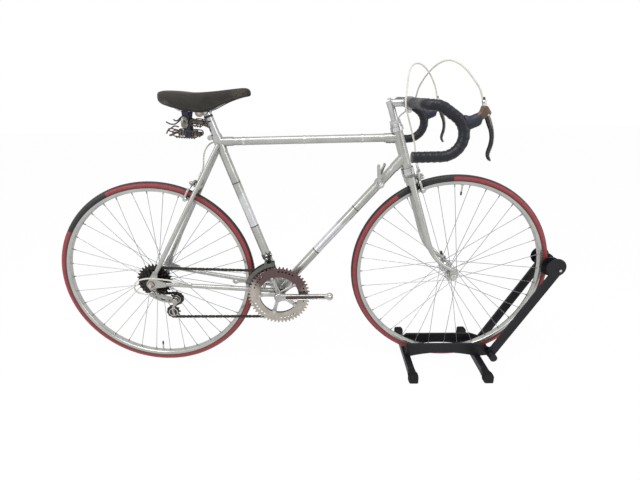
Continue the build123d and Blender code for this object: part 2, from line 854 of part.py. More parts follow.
with BuildPart() as brake_levers:
    for sign in (1, -1):
        with BuildSketch(side.offset(-sign * (half_bar + 1))):
            Polygon(
                (hood_x + 50, hood_z + 6),
                (hood_x + 60, hood_z + 2),
                (hood_x + 70, hood_z - 26),
                (hood_x + 76.5, hood_z - 50),
                (hood_x + 76, hood_z - 76),
                (hood_x + 70, hood_z - 98),
                (hood_x + 75, hood_z - 116),
                (hood_x + 69, hood_z - 120),
                (hood_x + 61, hood_z - 98),
                (hood_x + 66, hood_z - 74),
                (hood_x + 66, hood_z - 50),
                (hood_x + 58, hood_z - 24),
                (hood_x + 48, hood_z - 6),
                align=None,
            )
        extrude(amount=lever_width / 2, both=True)
    add(brake_hoods, mode=Mode.SUBTRACT)
save("brake_levers", brake_levers)


# ---------------------------------------------------------------- brakes
def brake_pads(mount, axle):
    """The two pads and their bolts, in the plane of a brake's mounting face, beside the rim."""
    wheel = mount.to_local_coords(axle)
    out = brake_layer
    up = wheel.Y + sqrt(brake_track_radius**2 - (out - wheel.Z) ** 2)
    middle = mount.from_local_coords(Vector(0, up, out))
    along = (middle - axle).cross(mount.x_dir).normalized()
    with BuildPart() as piece:
        for sign in (1, -1):
            inside = sign * (rim_width / 2 + pad_gap)
            outside = inside + sign * pad_thickness
            with BuildSketch(Plane(origin=middle + mount.x_dir * inside, x_dir=along, z_dir=mount.x_dir * sign)):
                RectangleRounded(pad_length, pad_height, pad_height / 3)
            extrude(amount=pad_thickness)
            rod(
                middle + mount.x_dir * outside,
                middle + mount.x_dir * sign * (brake_arm_spread + brake_arm_width),
                pad_bolt_radius,
            )
    return piece, up


def brake_arms(mount, pads, up):
    """A side-pull caliper: two crossed arms in two layers on one bolt, and the cable's adjuster."""
    spread = brake_arm_spread
    with BuildPart() as piece:
        with BuildSketch(mount):
            with BuildLine():
                Polyline((-spread, up - 3), (-spread - 5, up + 16), (-spread, -8), (0, 0))
                Polyline((-spread, -8), (-spread - 7, 6), (-adjuster_side, adjuster_low))
            trace(line_width=brake_arm_width)
            Circle(brake_boss_radius)
        extrude(amount=brake_layer)
        with BuildSketch(mount.offset(brake_layer)):
            with BuildLine():
                Polyline((spread, up - 3), (spread + 5, up + 16), (spread - 2, -6), (0, 0), (-adjuster_side, 2))
            trace(line_width=brake_arm_width)
            Circle(brake_boss_radius)
        extrude(amount=brake_layer)
        with BuildSketch(mount.offset(2 * brake_layer)):
            RegularPolygon(brake_boss_radius, 6)
        extrude(amount=brake_nut_height)
        foot = mount.from_local_coords(Vector(-adjuster_side, adjuster_low - 6, brake_layer))
        head = mount.from_local_coords(Vector(-adjuster_side, adjuster_high, brake_layer))
        rod(foot, head, adjuster_radius)
        rod(mount.origin, mount.offset(-brake_spacer).origin, brake_boss_radius)
        add(pads, mode=Mode.SUBTRACT)
    return piece


front_mount = Plane(
    origin=on_head(-crown_height / 2, crown_depth / 2 + brake_spacer),
    x_dir=(0, 1, 0),
    z_dir=on_head(0, 1) - on_head(0),
)
front_brake_pads, front_pad_up = brake_pads(front_mount, front_axle)
save("front_brake_pads", front_brake_pads)
front_brake_caliper = brake_arms(front_mount, front_brake_pads, front_pad_up)
save("front_brake_caliper", front_brake_caliper)

rear_mount = Plane(origin=brake_bridge, x_dir=(0, -1, 0), z_dir=Vector(0, -1, 0).cross(stay_up))
rear_mount = rear_mount.offset(bridge_radius + seat_gap + brake_spacer)
rear_brake_pads, rear_pad_up = brake_pads(rear_mount, rear_axle)
save("rear_brake_pads", rear_brake_pads)
rear_brake_caliper = brake_arms(rear_mount, rear_brake_pads, rear_pad_up)
save("rear_brake_caliper", rear_brake_caliper)

# ---------------------------------------------------------------- crankset and freewheel
spindle_half = chain_line + ring_thickness / 2 + boss_thickness - spindle_recess
with BuildPart() as crank_spindle:
    rod(shell_centre + Vector(0, -spindle_half, 0), shell_centre + Vector(0, spindle_half, 0), spindle_radius)
save("crank_spindle", crank_spindle)

with BuildPart() as bottom_bracket_cups:
    for sign in (1, -1):
        inner = shell_centre + Vector(0, sign * (shell_width / 2 - cup_depth), 0)
        face = shell_centre + Vector(0, sign * shell_width / 2, 0)
        rod(inner, face, cup_radius)
        rod(face, face + Vector(0, sign * cup_lip, 0), shell_radius)
    rod(shell_left * 2 - shell_centre, shell_right * 2 - shell_centre, spindle_radius + bearing_clearance, Mode.SUBTRACT)
save("bottom_bracket_cups", bottom_bracket_cups)


def chainring(teeth, middle, drilled=False):
    """A chainring: a toothed plate with a round window, its middle plane at a distance to the right.

    A drilled ring has a row of lightening holes between each two of its bolts.
    """
    drill_circle = pitch_radius(teeth) - ring_drill_inset
    first_drill = spider_turn + (360 / spider_arms - ring_drill_step * (ring_drills - 1)) / 2
    with BuildPart() as piece:
        with BuildSketch(side.offset(middle)):
            with Locations(bottom_bracket):
                Polygon(*toothed_outline(teeth), align=None)
                Circle(ring_window_radius, mode=Mode.SUBTRACT)
                with PolarLocations(ring_bolt_radius, spider_arms, start_angle=spider_turn):
                    Circle(ring_tab_radius)
                with PolarLocations(ring_bolt_radius, spider_arms, start_angle=spider_turn):
                    Circle(ring_bolt_hole_radius, mode=Mode.SUBTRACT)
                if drilled:
                    for drill in range(ring_drills):
                        with PolarLocations(drill_circle, spider_arms, start_angle=first_drill + drill * ring_drill_step):
                            Circle(ring_drill_radius, mode=Mode.SUBTRACT)
        extrude(amount=ring_thickness / 2, both=True)
    return piece


inner_ring_y = chain_line
outer_ring_y = chain_line + ring_spacing
spider_plane = side.offset(chain_line + ring_thickness / 2)
spider_thickness = ring_spacing - ring_thickness
save("inner_chainring", chainring(inner_ring_teeth, inner_ring_y))
save("outer_chainring", chainring(outer_ring_teeth, outer_ring_y, drilled=True))


def crank(direction, inside, spider):
    """A crank arm on its square boss, with a threaded pedal eye, and a spider where it is wanted.

    direction is 1 for an arm that points forward; inside is the boss's inner face, to the right.
    """
    sign = 1 if inside > 0 else -1
    eye = (bottom_bracket[0] + direction * crank_length, bottom_bracket[1])
    outer = inside + sign * boss_thickness
    with BuildPart() as piece:
        with BuildSketch(side.offset(inside)):
            with Locations(bottom_bracket):
                Circle(boss_radius)
        extrude(amount=sign * boss_thickness)
        with BuildSketch(side.offset(outer - sign * arm_thickness)):
            Polygon(
                (bottom_bracket[0], bottom_bracket[1] + arm_root_half),
                (eye[0], eye[1] + arm_tip_half),
                (eye[0], eye[1] - arm_tip_half),
                (bottom_bracket[0], bottom_bracket[1] - arm_root_half),
                align=None,
            )
            with Locations(eye):
                Circle(pedal_eye_radius)
        extrude(amount=sign * arm_thickness)
        if spider:
            with BuildSketch(spider_plane):
                with Locations(bottom_bracket):
                    Circle(spider_hub_radius)
                    with PolarLocations(0, spider_arms, start_angle=spider_turn):
                        Polygon(
                            (0, spider_root_half),
                            (ring_bolt_radius, spider_tip_half),
                            (ring_bolt_radius, -spider_tip_half),
                            (0, -spider_root_half),
                            align=None,
                        )
                    with PolarLocations(ring_bolt_radius, spider_arms, start_angle=spider_turn):
                        Circle(spider_tip_half)
            extrude(amount=spider_thickness)
            for start, radius, length in (
                (inner_ring_y - ring_thickness / 2, ring_bolt_hole_radius, ring_spacing + ring_thickness),
                (outer_ring_y + ring_thickness / 2, ring_bolt_head_radius, ring_bolt_head_height),
            ):
                with BuildSketch(side.offset(start)):
                    with Locations(bottom_bracket):
                        with PolarLocations(ring_bolt_radius, spider_arms, start_angle=spider_turn):
                            Circle(radius)
                extrude(amount=length)
        with Locations(span(at(eye[0], -outer - sign, eye[1]), at(eye[0], 0, eye[1]))):
            Cylinder(pedal_thread_radius, arm_thickness * 3, align=ON_END, mode=Mode.SUBTRACT)
        rod(shell_left * 2 - shell_centre, shell_right * 2 - shell_centre, spindle_radius, Mode.SUBTRACT)
    return piece


save("right_crank", crank(1, chain_line + ring_thickness / 2, True))
save("left_crank", crank(-1, -chain_line - ring_thickness / 2, False))

with BuildPart() as freewheel:
    for index, teeth in enumerate(sprocket_teeth):
        middle = chain_line + (index - sprocket_in_use) * sprocket_spacing
        with BuildSketch(side.offset(middle)):
            Polygon(*toothed_outline(teeth), align=None)
        extrude(amount=sprocket_thickness / 2, both=True)
    with BuildSketch(side.offset(chain_line - sprocket_in_use * sprocket_spacing - freewheel_back)):
        Circle(freewheel_body_radius)
    extrude(amount=freewheel_back + (len(sprocket_teeth) - 1) * sprocket_spacing + sprocket_thickness / 2)
    with BuildSketch(side):
        Circle(freewheel_bore_radius)
    extrude(amount=rear_hub_length, mode=Mode.SUBTRACT)
save("freewheel", freewheel)


# ---------------------------------------------------------------- chain and derailleurs
def tangent_run(start, end):
    """Where the chain leaves one wheel and meets the next; each is (centre, radius, way round).

    The way round is 1 clockwise and -1 counter-clockwise, seen from the right of the bicycle.
    """
    (x0, z0), radius0, way0 = start
    (x1, z1), radius1, way1 = end
    gap = hypot(x1 - x0, z1 - z0)
    heading = atan2(z1 - z0, x1 - x0) - asin((way0 * radius0 - way1 * radius1) / gap)
    normal = (-sin(heading), cos(heading))
    leave = (x0 + way0 * radius0 * normal[0], z0 + way0 * radius0 * normal[1])
    meet = (x1 + way1 * radius1 * normal[0], z1 + way1 * radius1 * normal[1])
    return leave, meet


def turn_of(centre, point):
    """The angle of a point round a centre, in degrees."""
    return degrees(atan2(point[1] - centre[1], point[0] - centre[0]))


chain_wheels = [
    (bottom_bracket, pitch_radius(inner_ring_teeth), 1),
    (tension_pulley, pitch_radius(pulley_teeth), 1),
    (guide_pulley, pitch_radius(pulley_teeth), -1),
    ((0, 0), pitch_radius(sprocket_teeth[sprocket_in_use]), 1),
]
chain_runs = [tangent_run(chain_wheels[i], chain_wheels[(i + 1) % 4]) for i in range(4)]

with BuildSketch() as chain_band:
    with BuildLine():
        for index, (centre, radius, way) in enumerate(chain_wheels):
            arrive = turn_of(centre, chain_runs[index - 1][1])
            depart = turn_of(centre, chain_runs[index][0])
            size = -((arrive - depart) % 360) if way > 0 else (depart - arrive) % 360
            CenterArc(centre, radius, arrive, size)
            Line(*chain_runs[index])
    make_face()
    offset(amount=chain_height / 2)
    offset(amount=-chain_height, mode=Mode.SUBTRACT)

with BuildPart() as chain:
    for sign in (1, -1):
        with BuildSketch(side.offset(chain_line + sign * chain_inner_width / 2)):
            add(chain_band.sketch)
        extrude(amount=sign * chain_plate)
    with BuildSketch(side.offset(chain_line)):
        for (leave, meet), clear in zip(chain_runs, roller_clear_runs):
            length = hypot(meet[0] - leave[0], meet[1] - leave[1])
            count = floor((length - clear[0] - clear[1]) / chain_pitch)
            for index in range(count + 1):
                share = (clear[0] + index * chain_pitch) / length
                with Locations((leave[0] + (meet[0] - leave[0]) * share, leave[1] + (meet[1] - leave[1]) * share)):
                    Circle(roller_radius)
    extrude(amount=chain_inner_width / 2, both=True)
save("chain", chain)

with BuildPart() as derailleur_pulleys:
    for centre in (guide_pulley, tension_pulley):
        with BuildSketch(side.offset(chain_line)):
            with Locations(centre):
                Polygon(*toothed_outline(pulley_teeth), align=None)
        extrude(amount=sprocket_thickness / 2, both=True)
        with BuildSketch(side.offset(chain_line)):
            with Locations(centre):
                Circle(pulley_hub_radius)
        extrude(amount=cage_gap / 2, both=True)
save("derailleur_pulleys", derailleur_pulleys)

with BuildPart() as rear_derailleur_cage:
    for sign in (1, -1):
        with BuildSketch(side.offset(chain_line + sign * cage_gap / 2)):
            SlotCenterPoint(
                ((guide_pulley[0] + tension_pulley[0]) / 2, (guide_pulley[1] + tension_pulley[1]) / 2),
                guide_pulley,
                2 * cage_plate_radius,
            )
        extrude(amount=sign * cage_plate_thickness)
save("rear_derailleur_cage", rear_derailleur_cage)

hanger_outside = rear_half + dropout_thickness
barrel_y = -hanger_outside - knuckle_length / 2
with BuildPart() as rear_derailleur_body:
    cage_outside = chain_line + cage_gap / 2 + cage_plate_thickness
    rod(at(hanger[0], -hanger_outside, hanger[1]), at(hanger[0], -hanger_outside - knuckle_length, hanger[1]), knuckle_radius)
    rod(
        at(guide_pulley[0], -cage_outside, guide_pulley[1]),
        at(guide_pulley[0], -cage_outside - knuckle_length, guide_pulley[1]),
        knuckle_radius,
    )
    rod(at(hanger[0], barrel_y, hanger[1]), at(hanger[0] - barrel_length, barrel_y, hanger[1]), barrel_radius)
    for drop in (link_spacing / 2, -link_spacing / 2):
        rod(
            at(hanger[0], -hanger_outside - knuckle_length / 2, hanger[1] + drop),
            at(guide_pulley[0], -cage_outside - knuckle_length / 2, guide_pulley[1] + drop),
            link_radius,
        )
save("rear_derailleur_body", rear_derailleur_body)

band_low = on_seat(front_derailleur_height - band_height / 2)
band_high = on_seat(front_derailleur_height + band_height / 2)
with BuildPart() as front_derailleur:
    rod(band_low, band_high, seat_tube_radius + band_thickness)
    rod(
        on_seat(front_derailleur_height - band_height / 2, -seat_tube_radius),
        on_seat(front_derailleur_height - band_height / 2, -chain_line - front_cage_half),
        front_arm_radius,
    )
    rod(shell_centre, on_seat(seat_tube_length), seat_tube_radius, Mode.SUBTRACT)
    for y, inner_radius, outer_radius in (
        (chain_line + front_cage_half, front_cage_inner, front_cage_outer),
        (chain_line - front_cage_half, front_cage_inner - front_cage_skirt, front_cage_outer),
    ):
        with BuildSketch(side.offset(y)):
            with BuildLine():
                outer_arc = CenterArc(bottom_bracket, outer_radius, front_cage_start, front_cage_sweep)
                inner_arc = CenterArc(bottom_bracket, inner_radius, front_cage_start, front_cage_sweep)
                Line(outer_arc @ 0, inner_arc @ 0)
                Line(outer_arc @ 1, inner_arc @ 1)
            make_face()
        extrude(amount=front_plate_thickness / 2, both=True)
save("front_derailleur", front_derailleur)

# ---------------------------------------------------------------- shift levers and cables
down_along = (head_join_low - shell_centre).normalized()
shifter_middle = shell_centre + down_along * shifter_distance
boss_near = shifter_middle - Vector(0, down_tube_radius + band_thickness, 0)
boss_far = shifter_middle + Vector(0, down_tube_radius + band_thickness, 0)
with BuildPart() as shift_levers:
    rod(
        shifter_middle - down_along * shifter_band_half,
        shifter_middle + down_along * shifter_band_half,
        down_tube_radius + band_thickness,
    )
    rod(boss_near - Vector(0, shifter_boss_width, 0), boss_far + Vector(0, shifter_boss_width, 0), shifter_boss_radius)
    for (ahead, above), sign in ((near_lever_reach, -1), (far_lever_reach, 1)):
        reach = sign * (down_tube_radius + band_thickness + shifter_boss_width)
        root = side.to_local_coords(shifter_middle)
        tip = (root.X + ahead, root.Y + above)
        with BuildSketch(side.offset(-reach)):
            with BuildLine():
                Polyline((root.X, root.Y), tip)
            trace(line_width=shifter_lever_width)
            with Locations(tip):
                Circle(shifter_lever_width / 2)
        extrude(amount=sign * shifter_lever_thickness)
    rod(shell_centre, head_join_low, down_tube_radius, Mode.SUBTRACT)
save("shift_levers", shift_levers)


def cord(points, bends, radius):
    """A round cord along straight runs joined by bends of the given radii."""
    with BuildPart() as piece:
        with BuildLine() as path:
            FilletPolyline(*points, radius=bends)
        with BuildSketch(Plane(origin=path.line @ 0, z_dir=path.line % 0)):
            Circle(radius)
        sweep()
    return piece


def bend_radii(points):
    """A bend for each inner point, as wide as its two runs allow, so that no two bends meet."""
    radii = []
    for before, here, after in zip(points, points[1:], points[2:]):
        first = here - before
        second = after - here
        half_turn = radians(first.get_angle(second)) / 2
        radii.append(0.45 * min(first.length, second.length) / tan(half_turn))
    return radii


housing_route = [
    at(118, -57.6, -5.4),
    at(88, -66, 8),
    at(42, -80, 25),
    at(-4, -86, 33),
    at(-40, -86, 22),
    at(-50, -85, -4),
    at(-40, -81, -25),
    at(hanger[0] - barrel_length - seat_gap, barrel_y, hanger[1]),
]
derailleur_housing = cord(housing_route, bend_radii(housing_route), housing_radius)
wire_out = down_tube_radius + wire_radius + seat_gap
with BuildPart() as shift_cables:
    for sign in (1, -1):
        top = shifter_middle - down_along * (shifter_boss_radius + 1) + Vector(0, sign * wire_out, 0)
        low = shell_centre + down_along * (shell_radius + lug_length + 6) + Vector(0, sign * wire_out, 0)
        rod(top, low, wire_radius)
    add(derailleur_housing)
save("shift_cables", shift_cables)

# The left lever's cable, over the bar and down the right side of the stem to the front brake.
front_stop = front_mount.from_local_coords(Vector(-adjuster_side, adjuster_high + seat_gap, brake_layer))
front_route = [
    at(984, 201, 562),
    at(978, 198, 588),
    at(960, 186, 624),
    at(931, 162, 662),
    at(897, 126, 683),
    at(864, 82, 672),
    at(845, 34, 636),
    at(832, -14, 594),
    at(822, -37, 558),
    at(832, -38, 520),
    at(847, -34, 470),
    at(859, -30, 430),
    front_stop + (on_head(1) - on_head(0)) * 34,
    front_stop,
]
front_brake_cable = cord(front_route, bend_radii(front_route), housing_radius)
save("front_brake_cable", front_brake_cable)

# Where the right lever's cable passes from the bar to the frame: close to the head tube, and
# parallel to it, so that its two ends slide past each other as the bar turns.
cable_join = at(822, 42, 490)
cable_heading = on_head(0) - on_head(1)

# The right lever's cable, round the left side of the stem to the middle of the head tube's turn.
rear_route_bar = [
    at(984, -201, 562),
    at(978, -198, 588),
    at(962, -190, 610),
    at(940, -170, 644),
    at(913, -144, 664),
    at(890, -110, 657),
    at(872, -68, 632),
    at(864, -20, 603),
    at(867, 20, 577),
    at(861, 38, 549),
    at(842, 43, 533),
    cable_join - cable_heading * 24,
    cable_join,
]
rear_brake_cable_bar = cord(rear_route_bar, bend_radii(rear_route_bar), housing_radius)
save("rear_brake_cable_bar", rear_brake_cable_bar)

# The same cable on the frame: along the left of the top tube, round the seat cluster, to the brake.
rear_stop = rear_mount.from_local_coords(Vector(-adjuster_side, adjuster_high + seat_gap, brake_layer))
cable_y = top_tube_radius + housing_radius - 1
rear_route_frame = [
    cable_join + cable_heading * seat_gap,
    cable_join + cable_heading * 21,
    at(812, 37, 451),
    at(781, 27, 441),
    at(735, cable_y, 447),
    at(560, cable_y, 446),
    at(330, cable_y, 447),
    at(290, 22, 449),
    at(255, 33, 454),
    at(221, 29, 452),
    at(201, 24, 435),
    at(189, 26, 408),
    rear_stop + stay_up * 22,
    rear_stop,
]
rear_brake_cable_frame = cord(rear_route_frame, bend_radii(rear_route_frame), housing_radius)
save("rear_brake_cable_frame", rear_brake_cable_frame)


# ---------------------------------------------------------------- saddle group
def saddle_form(stations, inset):
    """A loft through rounded sections; each station is (x, width, top, bottom)."""
    with BuildPart() as piece:
        for x, width, top, bottom in stations:
            half = width / 2 - inset
            crest = top - 2 * inset
            base = bottom - 3 * inset
            with BuildSketch(Plane(origin=at(x, 0, 0), x_dir=(0, 1, 0), z_dir=side.x_dir)):
                with BuildLine():
                    Polyline((-half, base), (half, base))
                    Spline(
                        (half, base),
                        (half * 0.98, base + (crest - base) * 0.55),
                        (half * 0.55, base + (crest - base) * 0.95),
                        (0, crest),
                        (-half * 0.55, base + (crest - base) * 0.95),
                        (-half * 0.98, base + (crest - base) * 0.55),
                        (-half, base),
                    )
                make_face()
        loft()
    return piece


saddle_stations = [
    (90, 84, 603, 588),
    (112, 128, 606, 574),
    (155, 142, 605, 562),
    (212, 104, 603, 548),
    (262, 58, 606, 562),
    (315, 40, 611, 583),
    (348, 34, 611, 590),
    (361, 22, 606, 594),
]
with BuildPart() as saddle:
    add(saddle_form(saddle_stations, 0))
    add(saddle_form(saddle_stations[1:-1], saddle_wall), mode=Mode.SUBTRACT)
save("saddle", saddle)

clamp_middle = at(saddle_clamp_x, 0, rail_z)
half_saddle_clamp = Vector(0, saddle_clamp_half, 0)
with BuildPart() as saddle_rails:
    for sign in (1, -1):
        rail_points = [
            at(330, sign * 6, 606),
            at(318, sign * 8, 586),
            at(278, sign * 14, rail_z + 2),
            at(250, sign * rail_y, rail_z),
            at(140, sign * rail_y, rail_z),
            at(116, sign * 32, 604),
        ]
        with BuildLine() as rail_path:
            FilletPolyline(*rail_points, radius=12)
        with BuildSketch(Plane(origin=rail_path.line @ 0, z_dir=rail_path.line % 0)):
            Circle(saddle_rail_radius)
        sweep()
    add(saddle, mode=Mode.SUBTRACT)
save("saddle_rails", saddle_rails)

with BuildPart() as seatpost:
    rod(on_seat(seat_tube_length - seatpost_inside), on_seat(seatpost_top), seatpost_radius)
    rod(clamp_middle - half_saddle_clamp, clamp_middle + half_saddle_clamp, saddle_clamp_radius)
    add(saddle_rails, mode=Mode.SUBTRACT)
save("seatpost", seatpost)

with BuildPart() as strapped_pedals:
    for x, z in (upper_pedal, lower_pedal):
        for sign in (1, -1):
            with Locations(Plane(origin=at(x, sign * pedal_half_width, z), x_dir=side.x_dir, z_dir=(0, 1, 0))):
                Box(pedal_plate_length, pedal_plate_height, pedal_plate_thickness)
        back = x - pedal_plate_length / 2
        front = x + pedal_plate_length / 2
        rod(at(back, 0, z), at(front, 0, z), pedal_barrel_radius)
        rod(at(back - 8, 0, z), at(front, 0, z), pedal_axle_radius)
        for end in (back + 4, front - 4):
            rod(at(end, -pedal_half_width, z), at(end, pedal_half_width, z), 3)
save("strapped_pedals", strapped_pedals)

strap_low = lower_pedal[1] - pedal_plate_height / 2 - seat_gap
strap_high = rail_z + saddle_rail_radius + seat_gap
strap_half = pedal_half_width + pedal_plate_thickness / 2 + seat_gap
strap_plane = Plane(
    origin=at(strap_x - strap_width / 2, 0, (strap_low + strap_high) / 2), x_dir=(0, 1, 0), z_dir=side.x_dir
)
with BuildPart() as saddle_strap:
    with BuildSketch(strap_plane):
        RectangleRounded(2 * (strap_half + strap_thickness), strap_high - strap_low + 2 * strap_thickness, 4)
        Rectangle(2 * strap_half, strap_high - strap_low, mode=Mode.SUBTRACT)
    extrude(amount=strap_width)
save("saddle_strap", saddle_strap)

# ---------------------------------------------------------------- floor stand
stand_bar_middles = [
    stand_at(x, 0, stand_bar_low + stand_bar_side / 2) for x in (stand_bar_rear, stand_bar_front)
]
with BuildPart() as stand_cross_bars:
    for middle in stand_bar_middles:
        with Locations(middle):
            Box(stand_bar_side, stand_width - 2 * stand_cap_wall, stand_bar_side)
save("stand_cross_bars", stand_cross_bars)

cap_size = stand_bar_side + 2 * stand_bar_low
with BuildPart() as stand_feet:
    for middle in stand_bar_middles:
        for sign in (1, -1):
            with Locations(middle + Vector(0, sign * (stand_width - stand_cap_length) / 2, 0)):
                Box(cap_size, stand_cap_length, cap_size)
    add(stand_cross_bars, mode=Mode.SUBTRACT)
save("stand_feet", stand_feet)

rail_low = stand_bar_low + stand_bar_side
rail_back = -stand_rail_back
pivot = stand_at(stand_pivot_x, 0, stand_pivot_z)
rail_outside = stand_rail_y + stand_rail_thickness / 2
with BuildPart() as stand_rails:
    for sign in (1, -1):
        with BuildSketch(stand_side.offset(-sign * stand_rail_y)):
            with BuildLine():
                Polyline(
                    (stand_bar_front + stand_bar_side / 2, rail_low),
                    (stand_pivot_x, stand_pivot_z - stand_pivot_radius),
                    (stand_pivot_x, stand_pivot_z + stand_pivot_radius),
                    (stand_end_front, stand_rail_top),
                    (rail_back + stand_rail_corner, stand_rail_top),
                    (rail_back, stand_rail_top - stand_rail_corner),
                    (rail_back, rail_low),
                    (stand_bar_rear + stand_bar_side / 2, rail_low),
                )
                ThreePointArc(
                    (stand_bar_rear + stand_bar_side / 2, rail_low),
                    ((stand_bar_rear + stand_bar_front) / 2, rail_low + stand_arch_rise),
                    (stand_bar_front - stand_bar_side / 2, rail_low),
                )
                Line(
                    (stand_bar_front - stand_bar_side / 2, rail_low), (stand_bar_front + stand_bar_side / 2, rail_low)
                )
            make_face()
            with Locations((stand_pivot_x, stand_pivot_z)):
                Circle(stand_pivot_radius)
                Circle(stand_bolt_radius, mode=Mode.SUBTRACT)
        extrude(amount=stand_rail_thickness / 2, both=True)
    for x in (stand_bar_rear, stand_bar_front):
        tyre_inset = abs(x) - stand_rail_thickness / 2
        tyre_height = stand_lift + tyre_radius - sqrt(tyre_radius**2 - tyre_inset**2)
        rest_height = tyre_height - seat_gap - rail_low
        with Locations(stand_at(x, 0, rail_low + rest_height / 2)):
            Box(stand_rail_thickness, 2 * stand_rail_y, rest_height)
save("stand_rails", stand_rails)

bracket_turn = radians(stand_bracket_turn)
bracket_centre = stand_at(bracket_x, 0, bracket_z)
bracket_out = Vector(cos(bracket_turn), 0, sin(bracket_turn))
bracket_bolt = bracket_centre + bracket_out * stand_bolt_forward
arm_inside = rail_outside + stand_arm_spacer
arm_y = arm_inside + stand_arm_thickness / 2
with BuildPart() as stand_arms:
    for sign in (1, -1):
        head = stand_side.to_local_coords(bracket_bolt)
        with BuildSketch(stand_side.offset(-sign * arm_y)):
            with BuildLine():
                Polyline((stand_pivot_x, stand_pivot_z), (head.X, head.Y))
            trace(line_width=stand_arm_width)
            with Locations((stand_pivot_x, stand_pivot_z), (head.X, head.Y)):
                Circle(stand_arm_width / 2)
                Circle(stand_bolt_radius, mode=Mode.SUBTRACT)
        extrude(amount=stand_arm_thickness / 2, both=True)
save("stand_arms", stand_arms)

plate_inside = tyre_section / 2 + stand_tyre_gap
with BuildPart() as stand_bracket:
    for sign in (1, -1):
        with BuildSketch(stand_side.offset(-sign * plate_inside)):
            with Locations(stand_side.to_local_coords(bracket_centre)):
                Circle(stand_bracket_radius)
        extrude(amount=-sign * stand_plate_thickness)
    spacer_half = Vector(0, arm_inside - seat_gap, 0)
    rod(bracket_bolt - spacer_half, bracket_bolt + spacer_half, stand_spacer_radius)
    front_axle_on_stand = stand_at(0, 0, stand_lift + tyre_radius)
    with Locations(
        Plane(
            origin=front_axle_on_stand + bracket_out * (tyre_radius + seat_gap + stand_plate_thickness / 2),
            x_dir=bracket_out,
            z_dir=(0, 1, 0),
        )
    ):
        Box(stand_plate_thickness, stand_saddle_length, 2 * plate_inside)
    rod(bracket_bolt - spacer_half, bracket_bolt + spacer_half, stand_bolt_radius, Mode.SUBTRACT)
save("stand_bracket", stand_bracket)

bolt_half = Vector(0, arm_y + stand_arm_thickness / 2, 0)
with BuildPart() as stand_bolts:
    for middle in (pivot, bracket_bolt):
        rod(middle - bolt_half, middle + bolt_half, stand_bolt_radius - bearing_clearance)
        for sign in (1, -1):
            with BuildSketch(Plane(origin=middle + bolt_half * sign, z_dir=(0, sign, 0))):
                RegularPolygon(stand_bolt_radius * 1.8, 6)
            extrude(amount=stand_bolt_radius)
    for sign in (1, -1):
        spacer_start = pivot + Vector(0, sign * (rail_outside + seat_gap), 0)
        spacer_end = pivot + Vector(0, sign * (arm_inside - seat_gap), 0)
        rod(spacer_start, spacer_end, stand_spacer_radius)
    knob_start = pivot - bolt_half - Vector(0, stand_bolt_radius, 0)
    rod(knob_start, knob_start - Vector(0, stand_knob_length, 0), stand_knob_radius)
save("stand_bolts", stand_bolts)
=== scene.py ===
"""Dresses the parked road racing bicycle and its front-wheel floor stand.

All lengths are in metres. X is forward, Y is the rider's left and Z is up, with the floor at 0.
The drive side, which has the chain, is at -Y.
"""

import bmesh
import bpy
import numpy as np
from mathutils import Matrix, Vector


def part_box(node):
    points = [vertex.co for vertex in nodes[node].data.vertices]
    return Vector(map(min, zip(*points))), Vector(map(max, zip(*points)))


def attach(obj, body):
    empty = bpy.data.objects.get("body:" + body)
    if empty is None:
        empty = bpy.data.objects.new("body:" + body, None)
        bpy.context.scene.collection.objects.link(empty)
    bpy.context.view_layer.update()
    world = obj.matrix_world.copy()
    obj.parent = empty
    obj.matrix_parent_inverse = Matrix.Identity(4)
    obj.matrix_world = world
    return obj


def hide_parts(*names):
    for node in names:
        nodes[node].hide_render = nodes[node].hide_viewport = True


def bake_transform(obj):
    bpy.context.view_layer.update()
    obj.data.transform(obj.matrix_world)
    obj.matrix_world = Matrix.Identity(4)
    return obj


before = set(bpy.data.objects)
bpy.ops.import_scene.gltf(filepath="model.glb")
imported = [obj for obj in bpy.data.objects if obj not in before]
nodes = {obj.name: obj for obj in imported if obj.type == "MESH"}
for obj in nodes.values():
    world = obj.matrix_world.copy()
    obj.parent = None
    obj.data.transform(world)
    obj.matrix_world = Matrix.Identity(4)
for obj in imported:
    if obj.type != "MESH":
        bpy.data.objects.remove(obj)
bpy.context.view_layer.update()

# ---- View, light and floor -------------------------------------------------------------------
# A plain pale studio: a wide matt floor under a white surround, two large soft lamps from above
# and a smaller one from low in front, so that the silver tubes keep a light and a dark side.


def middle(node):
    """The centre of a CAD node's box."""
    low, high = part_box(node)
    return (np.array(low) + np.array(high)) / 2


rear_axle = middle("rear_tyre") * (1, 0, 1)
front_axle = middle("front_tyre") * (1, 0, 1)

eye_from_rear_axle = Vector((0.5688, -1.206, 0.601))
eye_turn = -0.01159
eye_tilt = -0.276
eye_roll = -0.01335
sensor_width = 36.0
lens_share_of_sensor = 0.5990625
view_shift = (0.0025, -0.0598)
camera_data = bpy.data.cameras.new("camera")
camera_data.sensor_width = sensor_width
camera_data.lens = lens_share_of_sensor * sensor_width
camera_data.shift_x, camera_data.shift_y = view_shift
camera = bpy.data.objects.new("camera", camera_data)
camera.location = Vector(rear_axle) + eye_from_rear_axle
camera.rotation_euler = (
    Matrix.Rotation(-eye_turn, 3, "Z")
    @ Matrix.Rotation(np.pi / 2 + eye_tilt, 3, "X")
    @ Matrix.Rotation(eye_roll, 3, "Z")
).to_euler()
bpy.context.scene.collection.objects.link(camera)
bpy.context.scene.camera = camera
bpy.context.scene.view_settings.view_transform = "Standard"


